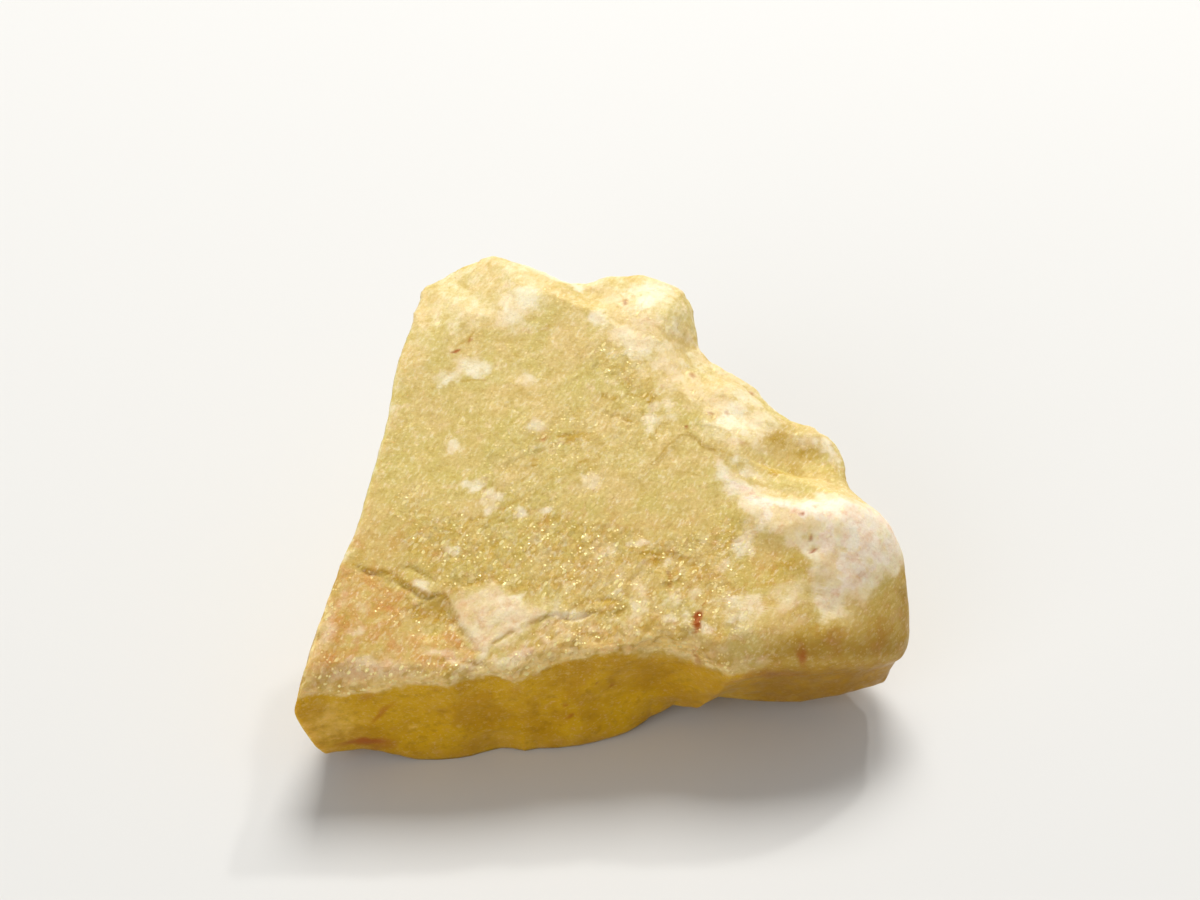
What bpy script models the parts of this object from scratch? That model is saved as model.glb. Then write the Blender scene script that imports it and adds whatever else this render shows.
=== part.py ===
"""A rough danburite crystal, broken from its rock: one solid piece, lying on its flattest break.

The stone is a wedge. One large, nearly flat crystal face slopes down towards the front, with a sharp
straight edge on its left, a bevelled corner at the back, a stepped and worn edge on its right and a
rounded lobe at the front right. Broken walls run from the edge of that face down to the flat break.

The solid starts as a box whose sides are subdivided into a grid. Every grid point is then carried onto
the skin of the crystal: the box's top becomes the crystal face, its four sides become the broken walls,
and its bottom becomes the break that the stone rests on.

Frame: X to the right, Y to the back, Z up. The stone is drawn round a point of its own and moved at the
end, so that the origin is the middle of its footprint, on the resting plane. Sizes are in millimetres,
and the mesh is scaled to metres when it is stored.
"""

import itertools

import bmesh
import bpy
import numpy as np

NAME = "danburite_crystal"
MM = 0.001

# The crystal face: a plane that rises to the back, given by its height at the origin and its tilt.
FACE_HEIGHT = 12.25
FACE_TILT = np.radians(26.4)
MIDDLE = np.array([0.0, -1.0])  # the point that the outline is drawn round
BOX_MIDDLE = np.array([-0.16, -0.73, 0.0])  # where the middle of the finished stone's footprint falls

# The edge of the crystal face, clockwise seen from above, from the front left corner. Each corner is
# x, y, how far the edge lies below the plane of the face, and the width of the slope that leads down
# to it, as a share of the way to the middle.
EDGE = {
    "sharp_left": [
        (-14.7, -11.5, 0.5, 0.10), (-14.5, -10.7, 0.1, 0.06), (-13.6, -8.0, 0.0, 0.06),
        (-12.9, -5.9, 0.0, 0.06), (-12.2, -4.1, 0.0, 0.06), (-11.6, -1.6, 0.0, 0.06),
        (-11.0, 0.9, 0.0, 0.06), (-10.6, 3.7, 0.1, 0.10), (-10.0, 5.7, 0.3, 0.18),
    ],
    "bevelled_corner": [
        (-9.5, 8.4, 1.2, 0.27), (-8.3, 9.1, 1.4, 0.33), (-7.2, 9.6, 1.3, 0.32), (-6.0, 10.0, 1.2, 0.29),
        (-4.1, 9.4, 1.2, 0.24),
    ],
    "back_summit": [
        (-2.5, 8.7, 1.2, 0.22), (-1.2, 8.6, 1.4, 0.26), (-0.2, 8.9, 1.3, 0.34), (1.6, 9.1, 1.4, 0.43),
        (2.8, 8.9, 1.6, 0.43), (3.8, 8.7, 1.9, 0.42), (4.2, 8.1, 2.2, 0.40), (4.5, 5.9, 2.0, 0.37),
    ],
    "stepped_right": [
        (5.1, 5.1, 1.9, 0.40), (6.3, 4.5, 2.0, 0.44), (7.4, 4.0, 2.2, 0.47), (7.8, 3.3, 2.1, 0.48),
        (9.0, 2.4, 2.1, 0.51), (10.3, 2.2, 2.4, 0.53), (11.4, 1.7, 2.8, 0.52), (11.8, 0.8, 2.9, 0.50),
        (12.0, -1.0, 2.4, 0.46),
    ],
    "lobe": [
        (13.3, -2.6, 1.7, 0.30), (14.3, -3.5, 1.8, 0.24), (14.7, -4.1, 2.2, 0.24), (14.5, -5.1, 2.6, 0.24),
        (14.3, -5.9, 3.0, 0.24), (14.5, -6.8, 3.4, 0.26), (14.5, -7.6, 3.6, 0.28), (13.0, -8.7, 2.2, 0.26),
        (11.6, -9.3, 1.2, 0.22), (9.1, -9.7, 0.6, 0.16), (7.4, -9.9, 0.6, 0.12),
    ],
    "broken_front": [
        (5.7, -10.4, 0.9, 0.10), (4.8, -10.0, 0.5, 0.08), (4.0, -9.5, 0.2, 0.07), (2.3, -9.2, 0.0, 0.07),
        (0.9, -9.6, 0.0, 0.07), (-1.0, -9.8, 0.0, 0.07), (-2.4, -10.0, 0.1, 0.07), (-3.8, -10.4, 0.1, 0.07),
        (-4.7, -10.8, 0.2, 0.07), (-6.2, -10.8, 0.1, 0.07), (-7.6, -11.1, 0.2, 0.07),
        (-9.7, -11.1, 0.2, 0.07), (-11.4, -11.2, 0.3, 0.08), (-13.3, -11.2, 0.5, 0.10),
    ],
}

# The walls, by bearing from the middle in degrees, anticlockwise from +X: how far the wall lies inside
# the edge above it at half its height and at its foot, how high the foot is off the resting plane, and
# how rough its break is.
WALL = [
    (0, 0.0, 1.5, 1.2, 0.8), (20, -0.2, 0.8, 0.4, 1.0), (45, -0.5, -0.8, 0.0, 1.0),
    (62, -0.9, -1.3, 0.0, 1.0), (90, -0.9, -1.5, 0.0, 1.0), (118, -0.5, -0.7, 0.0, 1.0),
    (135, 0.1, 0.4, 0.0, 0.9), (152, 0.8, 1.9, 0.0, 0.8), (180, 1.2, 2.7, 0.0, 0.8),
    (196, 0.6, 1.6, 0.3, 0.7), (203, -0.3, -0.6, 0.4, 0.4), (207, -0.9, -1.7, 0.3, 0.3),
    (210, -0.7, -0.5, 0.0, 0.3), (213, -0.3, 1.3, 0.0, 0.3), (216, 0.5, 2.8, 0.0, 0.3),
    (219, 0.5, 1.9, 0.0, 0.3), (224, 0.6, 1.3, 0.0, 0.3), (232, 0.9, 1.9, 0.0, 0.4),
    (240, 0.7, 1.6, 0.0, 0.4), (251, 0.2, 0.5, 0.0, 0.4), (258, 0.2, 0.4, 0.0, 0.4),
    (268, 0.4, 0.7, 0.0, 0.4), (278, 0.5, 0.9, 0.2, 0.4), (286, 0.6, 1.2, 0.5, 0.4),
    (296, 1.0, 2.1, 0.9, 0.3), (304, 1.5, 3.5, 1.3, 0.3), (312, 1.3, 3.2, 1.4, 0.4),
    (322, 1.2, 2.9, 1.2, 0.4), (331, 1.0, 2.4, 1.6, 0.4), (335, 0.3, 1.2, 2.3, 0.3),
    (338, -0.2, 0.0, 2.6, 0.3), (346, 0.0, 0.9, 2.4, 0.6),
]

# The large breaks: planes that the rough walls are cut back to. Each is the bearing that it faces, how
# far it leans back at the top in degrees, and its distance from the middle at BREAK_HEIGHT.
BREAK_PLANES = {
    "back": (95, 5, 10.5),
    "back_left": (133, -6, 11.8),
    "left": (168, -12, 10.3),
    "right_back": (41, 7, 8.6),
    "right": (17, 12, 10.7),
}
BREAK_HEIGHT = 6.0
BREAK_SHARE = 0.85  # how much of the stone beyond a plane is gone

# Ledges on the crystal face. The ground drops by the height on the right-hand side of the line, seen
# along it, and climbs back over the reach.
LEDGES = {
    "front_scar": (0.45, 3.2, [
        (-12.4, -5.9), (-10.9, -6.3), (-9.9, -6.7), (-8.9, -7.2), (-7.9, -7.4), (-7.1, -8.5), (-6.0, -9.8),
        (-5.4, -9.3), (-4.3, -8.7), (-3.1, -8.2), (-1.0, -8.0), (0.9, -7.8),
    ]),
    "upper_chip": (0.18, 0.9, [(-10.3, -5.9), (-9.2, -6.1), (-8.2, -6.7)]),
    "diagonal_step": (0.16, 1.6, [(-7.4, -4.8), (-5.8, -4.0), (-4.0, -3.4), (-2.2, -2.7)]),
    "middle_step": (0.20, 1.8, [(-5.6, -1.4), (-3.4, -0.5), (-1.4, -0.6), (0.6, 0.3)]),
    "chevron": (0.24, 3.2, [
        (0.5, -2.9), (1.9, -1.4), (2.7, -0.7), (3.7, 0.2), (5.1, -0.7), (5.9, -1.0), (6.6, -1.7),
        (7.3, -2.6),
    ]),
    "low_right_step": (0.22, 1.8, [(0.6, -6.2), (2.2, -5.6), (4.0, -5.6), (5.8, -4.7), (7.2, -4.6)]),
}
LEDGE_EDGE = 0.5  # how far a ledge takes to drop

# Hollows and swellings of the crystal face: middle, half length, half width, bearing of the length in
# degrees, and height, which is negative for a hollow.
SWELLINGS = {
    "notch_hollow": ((8.7, -0.5), 2.4, 1.3, 25, -0.45),
    "ridge_root": ((8.3, -2.7), 1.8, 0.9, -14, 0.25),
    "ridge": ((11.4, -3.6), 2.9, 1.3, -20, 0.50),
    "lobe_knob": ((12.1, -6.2), 1.7, 1.5, 60, 0.55),
    "lobe_cheek": ((8.9, -6.9), 2.3, 1.5, 35, 0.15),
    "scar_scoop": ((-8.4, -8.4), 1.2, 0.9, 10, -0.30),
    "summit_bump": ((2.6, 6.6), 1.8, 1.4, 20, 0.45),
    "summit_saddle": ((-1.0, 7.4), 1.0, 1.3, 90, -0.25),
    "right_bump": ((6.6, 2.4), 1.9, 1.0, -30, 0.40),
    "right_knuckle": ((10.5, 1.2), 1.2, 1.0, -20, 0.35),
}

# The stone's uneven skin, in millimetres.
FACE_WAVES = 0.10  # height of the low waves of the crystal face, about WAVE_SIZE across
WAVE_SIZE = 4.5
BREAK_SCOOPS = 1.1  # depth of the scoops of the broken walls, about SCOOP_SIZE across
SCOOP_SIZE = 5.0
BREAK_CHIPS = 0.4  # depth of the chips between them, about CHIP_SIZE across
CHIP_SIZE = 2.3
WORN_TURN = 0.045  # how far round the edge, each way, its corners are evened out for the rough walls
WORN_DEPTH = 0.6  # how far down a rough wall, as a share of its height, its corners are gone
FOOT_HOLLOWS = 0.5  # depth of the hollows of the underside, outside its pad
PAD_SHARE = 0.55  # the underside's flat pad, as a share of the way from its middle to its rim

# Grid of the box: cells along each side of the face, and rows down the walls.
FACE_CELLS = 36
WALL_ROWS = 10

STONE_COLOUR = (0.68, 0.52, 0.22, 1.0)
STONE_ROUGHNESS = 0.45


def smooth(value):
    """0 below 0, 1 above 1, and an even S between them."""
    held = np.clip(value, 0, 1)
    return held * held * (3 - 2 * held)


def waves(points, size, seed):
    """Low hills from -1 to 1, about size across: random heights on a cubic lattice, blended smoothly."""
    lattice = 32
    heights = np.random.default_rng(seed).uniform(-1, 1, (lattice,) * 3)
    place = points / size + lattice / 2
    cell = np.floor(place).astype(int)
    share = smooth(place - cell)
    total = np.zeros(len(points))
    for corner in itertools.product((0, 1), repeat=3):
        weight = np.prod(np.where(corner, share, 1 - share), axis=1)
        total += weight * heights[tuple(((cell + corner) % lattice).T)]
    return total


def scoops(points, size, seed):
    """Bowls that meet at sharp ridges, as a glassy break leaves them: the squared distance to the nearest
    of the centres scattered one to each cube of a lattice, from 0 in a bowl to about 1 on a ridge."""
    lattice = 32
    centres = np.random.default_rng(seed).uniform(0.1, 0.9, (lattice, lattice, lattice, 3))
    place = points / size + lattice / 2
    cell = np.floor(place).astype(int)
    nearest = np.full(len(points), np.inf)
    for step in itertools.product((-1, 0, 1), repeat=3):
        there = cell + step
        away = there + centres[tuple((there % lattice).T)] - place
        nearest = np.minimum(nearest, (away ** 2).sum(axis=1))
    return np.clip(nearest / 0.6, 0, 1)


def ledge(x, y, height, reach, line):
    """A step along a line: the ground drops on its right-hand side and climbs back over the reach."""
    corners = np.array(line)
    lengths = np.hypot(*np.diff(corners, axis=0).T)
    started = np.append(0.0, np.cumsum(lengths))
    nearest = np.full(x.shape, np.inf)
    side = np.zeros(x.shape)
    along = np.zeros(x.shape)
    for start, end, length, before in zip(corners[:-1], corners[1:], lengths, started):
        ahead = (end - start) / length
        run = (x - start[0]) * ahead[0] + (y - start[1]) * ahead[1]
        held = np.clip(run, 0, length)
        gap_x = x - start[0] - held * ahead[0]
        gap_y = y - start[1] - held * ahead[1]
        gap = np.hypot(gap_x, gap_y)
        closer = gap < nearest - 1e-6
        nearest = np.where(closer, gap, nearest)
        side = np.where(closer, np.where(gap_x * ahead[1] - gap_y * ahead[0] > 0, 1.0, 0.0), side)
        along = np.where(closer, (before + held) / started[-1], along)
    ends = smooth(np.minimum(along, 1 - along) / 0.12)
    drop = smooth(nearest / LEDGE_EDGE) * np.clip(1 - nearest / reach, 0, 1)
    return -height * side * ends * drop


def swelling(x, y, middle, half_length, half_width, bearing, height):
    """A smooth hump or hollow on an oval: highest at its middle, level with the ground at its rim."""
    turned = np.radians(bearing)
    along = ((x - middle[0]) * np.cos(turned) + (y - middle[1]) * np.sin(turned)) / half_length
    across = ((y - middle[1]) * np.cos(turned) - (x - middle[0]) * np.sin(turned)) / half_width
    return height * smooth(1.3 - np.hypot(along, across))


def edge_at(turn):
    """x, y, drop and slope width of the edge, where turn runs from 0 to 1 once round it by length.
    The corners are set to the nearest grid point of the box, so that each of them is kept."""
    corners = np.array([corner for stretch in EDGE.values() for corner in stretch])
    closed = np.vstack([corners, corners[:1]])
    lengths = np.hypot(*np.diff(closed[:, :2], axis=0).T)
    along = np.append(0.0, np.cumsum(lengths)) / lengths.sum()
    grid = 4 * FACE_CELLS
    return [np.interp(turn, np.round(along * grid) / grid, column) for column in closed.T]


def worn_edge(turn):
    """x, y of the edge with its corners evened out, which the rough walls come to lower down."""
    turns = [edge_at((turn + shift) % 1)[:2] for shift in np.linspace(-WORN_TURN, WORN_TURN, 9)]
    return np.mean(turns, axis=0).T


def wall_at(x, y):
    """The wall's insets at half height and at the foot, its foot's height and its roughness, below an
    edge point."""
    bearing = np.degrees(np.arctan2(y - MIDDLE[1], x - MIDDLE[0])) % 360
    stations = np.array(WALL).T
    return [np.interp(bearing, stations[0], column, period=360) for column in stations[1:]]


def face_height(x, y, out, drop, slope_width):
    """Height of the crystal face at x, y, where out runs from 0 at the middle to 1 at the edge: its
    plane, less the slope towards the edge, with its ledges, humps, hollows and waves. All of these
    fade at the edge, which keeps the heights that EDGE gives."""
    plane = FACE_HEIGHT + np.tan(FACE_TILT) * y
    slope = drop * np.clip((out - 1 + slope_width) / slope_width, 0, 1) ** 1.3
    relief = sum(ledge(x, y, *measures) for measures in LEDGES.values())
    relief += sum(swelling(x, y, *measures) for measures in SWELLINGS.values())
    relief += FACE_WAVES * waves(np.stack([x, y, 0 * x], axis=1), WAVE_SIZE, 3)
    return plane - slope + relief * smooth((1 - out) / 0.08)


def face_points(turn, out):
    """The crystal face: out runs from 0 at the middle to 1 at the edge."""
    edge_x, edge_y, drop, slope_width = edge_at(turn)
    x = MIDDLE[0] + out * (edge_x - MIDDLE[0])
    y = MIDDLE[1] + out * (edge_y - MIDDLE[1])
    return np.stack([x, y, face_height(x, y, out, drop, slope_width)], axis=1)


def wall_points(turn, down):
    """The walls, where down runs from 0 at the edge through the belly to 1 at the foot. They are broken
    into scoops and chips, and cut back to the planes of the large breaks."""
    edge = face_points(turn, np.ones(len(turn)))
    plan = edge[:, :2]
    away = (plan - MIDDLE) / np.linalg.norm(plan - MIDDLE, axis=1)[:, None]
    belly, foot, lift, roughness = wall_at(*plan.T)
    height = edge[:, 2] + (lift - edge[:, 2]) * down
    inset = 4 * belly * down * (1 - down) + foot * down * (2 * down - 1)
    broken = smooth((roughness - 0.4) / 0.4)
    worn = (worn_edge(turn) - plan) * (broken * smooth(down / WORN_DEPTH))[:, None]
    plan = plan - away * inset[:, None] + worn

    whole = np.column_stack([plan, height])
    rough = BREAK_SCOOPS * scoops(whole, SCOOP_SIZE, 11) + BREAK_CHIPS * scoops(whole, CHIP_SIZE, 12)
    rough = (rough - (BREAK_SCOOPS + BREAK_CHIPS) / 2) * roughness * np.sqrt(4 * down * (1 - down))
    reach = np.linalg.norm(plan - MIDDLE, axis=1)
    away = (plan - MIDDLE) / reach[:, None]
    reach = reach + rough
    for bearing, lean, distance in BREAK_PLANES.values():
        facing = away @ (np.cos(np.radians(bearing)), np.sin(np.radians(bearing)))
        allowed = (distance - (height - BREAK_HEIGHT) * np.tan(np.radians(lean))) / np.maximum(facing, 0.2)
        reach = reach - np.maximum(reach - allowed, 0) * BREAK_SHARE * broken * smooth(down / 0.3)
    return np.column_stack([MIDDLE + away * reach[:, None], height])


def under_points(turn, out):
    """The underside: a flat pad, and round it a hollowed break that rises to the foot of each wall."""
    foot = wall_points(turn, np.ones(len(turn)))
    plan = MIDDLE + out[:, None] * (foot[:, :2] - MIDDLE)
    off_pad = (out - PAD_SHARE) / (1 - PAD_SHARE)
    hollows = FOOT_HOLLOWS * (1 - scoops(np.column_stack([plan, 0 * out]), SCOOP_SIZE, 13))
    height = foot[:, 2] * smooth(off_pad) + hollows * smooth(3 * off_pad) * smooth((1 - out) / 0.1)
    return np.column_stack([plan, height])


def skin(box):
    """Carries points of a box from -1 to 1 onto the crystal, in millimetres. The larger of |x| and |y|
    is the way out from the middle, the direction gives the turn round the edge, and z the way down."""
    a, b, c = box.T
    out = np.maximum(np.maximum(np.abs(a), np.abs(b)), 1e-9)
    across, ahead = a / out, b / out
    side = np.select([across <= -1, ahead >= 1, across >= 1], [0, 1, 2], 3)
    share = np.choose(side, [ahead, across, -ahead, -across])
    turn = (side + (share + 1) / 2) / 4
    points = np.empty_like(box)
    walls = np.abs(c) < 1 - 1e-6
    top = c > 1 - 1e-6
    bottom = c < -1 + 1e-6
    points[walls] = wall_points(turn[walls], (1 - c[walls]) / 2)
    points[top] = face_points(turn[top], out[top])
    points[bottom] = under_points(turn[bottom], out[bottom])
    return points


def gridded_box():
    """A box from -1 to 1, its upright edges cut into wall rows and its level edges into face cells."""
    box = bmesh.new()
    bmesh.ops.create_cube(box, size=2)
    upright = [e for e in box.edges if abs(e.verts[0].co.z - e.verts[1].co.z) > 1]
    bmesh.ops.subdivide_edges(box, edges=upright, cuts=WALL_ROWS - 1, use_grid_fill=True)
    level = [e for e in box.edges if abs(e.verts[0].co.z - e.verts[1].co.z) < 1e-6]
    bmesh.ops.subdivide_edges(box, edges=level, cuts=FACE_CELLS - 1, use_grid_fill=True)
    return box


def crystal_mesh():
    """The box's points carried onto the crystal, in metres, with the flat pad left as one face."""
    box = gridded_box()
    mesh = bpy.data.meshes.new(NAME)
    box.to_mesh(mesh)
    box.free()
    places = np.empty(len(mesh.vertices) * 3)
    mesh.vertices.foreach_get("co", places)
    mesh.vertices.foreach_set("co", ((skin(places.reshape(-1, 3)) - BOX_MIDDLE) * MM).ravel())

    stone = bmesh.new()
    stone.from_mesh(mesh)
    pad = [f for f in stone.faces if all(v.co.z < 1e-9 for v in f.verts)]
    bmesh.ops.dissolve_faces(stone, faces=pad)
    bmesh.ops.triangulate(stone, faces=stone.faces)
    stone.to_mesh(mesh)
    stone.free()
    return mesh


def stone_material():
    material = bpy.data.materials.new("danburite")
    material.use_nodes = True
    shader = material.node_tree.nodes["Principled BSDF"]
    shader.inputs["Base Color"].default_value = STONE_COLOUR
    shader.inputs["Roughness"].default_value = STONE_ROUGHNESS
    shader.inputs["Metallic"].default_value = 0.0
    return material


def main():
    for obj in list(bpy.data.objects):
        bpy.data.objects.remove(obj)
    crystal = bpy.data.objects.new(NAME, crystal_mesh())
    crystal.data.materials.append(stone_material())
    collection = bpy.data.collections.new("danburite")
    collection.objects.link(crystal)
    bpy.context.scene.collection.children.link(collection)


main()
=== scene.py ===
# %% [markdown]
# # A rough danburite crystal
# This lesson dresses one loose stone: a wedge of cloudy yellow danburite, about 30 mm across, that was
# broken from its rock. Its solid is already made, at its real size, and comes in as a fixed frame. The
# solid has the main forms. What is missing is all that makes it a stone and not a plaster cast: thin
# ledges, frosted grain, waxy breaks, milky bruises, rust, and light that sinks in and comes out again.

# %% Load the solid
import itertools

import bpy
import numpy as np
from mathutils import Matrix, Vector


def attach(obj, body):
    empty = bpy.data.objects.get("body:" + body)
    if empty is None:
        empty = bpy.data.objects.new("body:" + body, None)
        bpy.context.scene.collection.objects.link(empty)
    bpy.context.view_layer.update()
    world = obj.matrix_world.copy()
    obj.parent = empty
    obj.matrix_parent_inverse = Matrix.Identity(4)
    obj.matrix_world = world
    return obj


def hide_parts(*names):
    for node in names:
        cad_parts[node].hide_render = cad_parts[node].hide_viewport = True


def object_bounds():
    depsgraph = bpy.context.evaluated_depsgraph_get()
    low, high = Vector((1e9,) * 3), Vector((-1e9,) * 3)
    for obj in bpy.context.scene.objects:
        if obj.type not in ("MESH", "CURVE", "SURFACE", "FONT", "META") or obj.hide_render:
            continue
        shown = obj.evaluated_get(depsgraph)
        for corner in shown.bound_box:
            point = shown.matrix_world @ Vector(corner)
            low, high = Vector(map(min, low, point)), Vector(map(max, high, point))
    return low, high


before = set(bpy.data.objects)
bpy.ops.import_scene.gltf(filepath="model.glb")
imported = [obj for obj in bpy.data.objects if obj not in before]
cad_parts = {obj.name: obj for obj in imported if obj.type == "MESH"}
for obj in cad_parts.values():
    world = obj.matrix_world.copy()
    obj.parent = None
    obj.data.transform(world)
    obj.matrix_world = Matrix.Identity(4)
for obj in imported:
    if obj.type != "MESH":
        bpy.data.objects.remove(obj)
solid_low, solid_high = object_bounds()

NODE = "danburite_crystal"
MM = 0.001
print("solid, mm:", [round((high - low) / MM, 2) for low, high in zip(solid_low, solid_high)])

# %% [markdown]
# ## The camera first
# A macro photographer looks down on a small stone at about 42 degrees, with a 70 mm lens a hand's width
# away. The camera is placed from three facts: the point that it aims at, its height above the horizon,
# and its distance. It is made first, so that every later step can be looked at through it.

# %% Camera
AIM = Vector((-0.34, 6.03, 6.6)) * MM
CAMERA_RISE = np.radians(42)
CAMERA_DISTANCE = 122.5 * MM


def make_camera():
    """A camera on the front side, level from left to right, that looks down at the aim."""
    data = bpy.data.cameras.new("camera")
    data.lens = 70
    data.sensor_width = 36
    data.clip_start = 0.005
    data.clip_end = 20
    camera = bpy.data.objects.new("camera", data)
    camera.location = AIM + CAMERA_DISTANCE * Vector((0, -np.cos(CAMERA_RISE), np.sin(CAMERA_RISE)))
    camera.rotation_euler = (np.pi / 2 - CAMERA_RISE, 0, 0)
    bpy.context.scene.collection.objects.link(camera)
    bpy.context.scene.camera = camera
    return camera


camera = make_camera()
print("camera at, mm:", [round(value / MM, 1) for value in camera.location])

# %% [markdown]
# ## The drawing of the stone
# The finished skin is drawn by the same rule as the solid, only on a finer grid, so the two share their
# outline, but for a rounder foot at the sharp left corner. The rule needs few dimensions: a tilted plane
# for the crystal face, the corners of its edge, how far each wall falls in or out on its way down, and
# the planes of the large breaks. They are in millimetres, in the stone's own drawing, whose origin lies a
# little off the middle of its footprint.

# %% Dimensions of the stone
FACE_HEIGHT = 12.25
FACE_TILT = np.radians(26.4)
MIDDLE = np.array([0.0, -1.0])
BOX_MIDDLE = np.array([-0.16, -0.73, 0.0])

# Corners of the crystal face: x, y, depth below the face's plane, width of the slope down to it.
EDGE = {
    "sharp_left": [
        (-14.7, -11.5, 0.5, 0.10), (-14.5, -10.7, 0.1, 0.06), (-13.6, -8.0, 0.0, 0.06),
        (-12.9, -5.9, 0.0, 0.06), (-12.2, -4.1, 0.0, 0.06), (-11.6, -1.6, 0.0, 0.06),
        (-11.0, 0.9, 0.0, 0.06), (-10.6, 3.7, 0.1, 0.10), (-10.0, 5.7, 0.3, 0.18),
    ],
    "bevelled_corner": [
        (-9.5, 8.4, 1.2, 0.27), (-8.3, 9.1, 1.4, 0.33), (-7.2, 9.6, 1.3, 0.32), (-6.0, 10.0, 1.2, 0.29),
        (-4.1, 9.4, 1.2, 0.24),
    ],
    "back_summit": [
        (-2.5, 8.7, 1.2, 0.22), (-1.2, 8.6, 1.4, 0.26), (-0.2, 8.9, 1.3, 0.34), (1.6, 9.1, 1.4, 0.43),
        (2.8, 8.9, 1.6, 0.43), (3.8, 8.7, 1.9, 0.42), (4.2, 8.1, 2.2, 0.40), (4.5, 5.9, 2.0, 0.37),
    ],
    "stepped_right": [
        (5.1, 5.1, 1.9, 0.40), (6.3, 4.5, 2.0, 0.44), (7.4, 4.0, 2.2, 0.47), (7.8, 3.3, 2.1, 0.48),
        (9.0, 2.4, 2.1, 0.51), (10.3, 2.2, 2.4, 0.53), (11.4, 1.7, 2.8, 0.52), (11.8, 0.8, 2.9, 0.50),
        (12.0, -1.0, 2.4, 0.46),
    ],
    "lobe": [
        (13.3, -2.6, 1.7, 0.30), (14.3, -3.5, 1.8, 0.24), (14.7, -4.1, 2.2, 0.24), (14.5, -5.1, 2.6, 0.24),
        (14.3, -5.9, 3.0, 0.24), (14.5, -6.8, 3.4, 0.26), (14.5, -7.6, 3.6, 0.28), (13.0, -8.7, 2.2, 0.26),
        (11.6, -9.3, 1.2, 0.22), (9.1, -9.7, 0.6, 0.16), (7.4, -9.9, 0.6, 0.12),
    ],
    "broken_front": [
        (5.7, -10.4, 0.9, 0.10), (4.8, -10.0, 0.5, 0.08), (4.0, -9.5, 0.2, 0.07), (2.3, -9.2, 0.0, 0.07),
        (0.9, -9.6, 0.0, 0.07), (-1.0, -9.8, 0.0, 0.07), (-2.4, -10.0, 0.1, 0.07), (-3.8, -10.4, 0.1, 0.07),
        (-4.7, -10.8, 0.2, 0.07), (-6.2, -10.8, 0.1, 0.07), (-7.6, -11.1, 0.2, 0.07),
        (-9.7, -11.1, 0.2, 0.07), (-11.4, -11.2, 0.3, 0.08), (-13.3, -11.2, 0.5, 0.10),
    ],
}
EDGE_GRID = 144  # the edge's corners sit on this many even steps round it
WALL_BLEND = 6.0  # degrees to each side over which the rows of the table of walls are averaged

# Walls: bearing from the middle, inset at half height, inset at the foot, the foot's height, roughness.
WALL = [
    (0, 0.0, 1.5, 1.2, 0.8), (20, -0.2, 0.8, 0.4, 1.0), (45, -0.5, -0.8, 0.0, 1.0),
    (62, -0.9, -1.3, 0.0, 1.0), (90, -0.9, -1.5, 0.0, 1.0), (118, -0.5, -0.7, 0.0, 1.0),
    (135, 0.1, 0.4, 0.0, 0.9), (152, 0.8, 1.9, 0.0, 0.8), (180, 1.2, 2.7, 0.0, 0.8),
    (196, 0.6, 1.6, 0.3, 0.7), (203, -0.3, -0.6, 0.4, 0.4), (207, -0.9, -1.7, 0.6, 0.3),
    (210, -0.7, -0.5, 1.6, 0.3), (213, -0.3, 1.1, 2.1, 0.3), (216, 0.3, 2.5, 1.5, 0.3),
    (219, 0.5, 1.6, 0.1, 0.3), (224, 0.6, 0.6, 0.0, 0.3), (232, 0.9, 1.4, 0.0, 0.4),
    (240, 0.7, 1.6, 0.0, 0.4), (251, 0.2, 0.5, 0.0, 0.4), (258, 0.2, 0.4, 0.0, 0.4),
    (268, 0.4, 0.7, 0.0, 0.4), (278, 0.5, 0.9, 0.2, 0.4), (286, 0.6, 1.2, 0.5, 0.4),
    (296, 1.0, 2.1, 0.9, 0.3), (304, 1.5, 3.5, 1.3, 0.3), (312, 1.3, 3.2, 1.4, 0.4),
    (322, 1.2, 2.9, 1.2, 0.4), (331, 1.0, 2.4, 1.6, 0.4), (335, 0.3, 1.2, 2.3, 0.3),
    (338, -0.2, 0.0, 2.6, 0.3), (346, 0.0, 0.9, 2.4, 0.6),
]

# Large breaks: bearing that the plane faces, lean in degrees, distance from the middle at BREAK_HEIGHT.
BREAK_PLANES = {
    "back": (95, 5, 10.5), "back_left": (133, -6, 11.8), "left": (168, -12, 10.3),
    "right_back": (41, 7, 8.6), "right": (17, 12, 10.7),
}
BREAK_HEIGHT = 6.0
BREAK_SHARE = 0.85  # how much of what stands out past a break plane is cut away
BREAK_SCOOPS, SCOOP_SIZE = 1.1, 5.0  # depth and width of the bowls in the broken walls
BREAK_CHIPS, CHIP_SIZE = 0.4, 2.3  # and of the chips between them
# A broken wall loses the corners of its edge: over how much turn they are evened out, and how far down
# that is complete. So does the middle of a smooth wall, except left of an x, at the sharp corner, with
# some millimetres of change beside it.
WORN_TURN, WORN_DEPTH = 0.045, 0.6
EASED_TURN, EASED_DEPTH = 0.016, 0.35
SHARP_CORNER = -12.5, 1.5
FOOT_HOLLOWS, PAD_SHARE = 0.5, 0.55  # depth of the hollows below, and how far out the flat pad reaches
FACE_WAVES, WAVE_SIZE = 0.10, 4.5  # height and width of the low waves of the face
SLOPE_CURVE = 1.3  # the power that the slope down to the edge follows
RIM_FADE = 0.08  # the share of the way to the edge over which the relief of the face fades
print("edge corners:", sum(len(stretch) for stretch in EDGE.values()))

# %% [markdown]
# ## Noise that repeats
# Stone is irregular, but a script must give the same stone each time. Two kinds of seeded noise do most
# of the work. Waves are soft hills: random heights on a cubic lattice, blended smoothly. Scoops are
# bowls that meet at sharp ridges, which is how glassy minerals break: the squared distance to the
# nearest of many scattered centres.

# %% Noise helpers
LATTICE = 32


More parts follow.
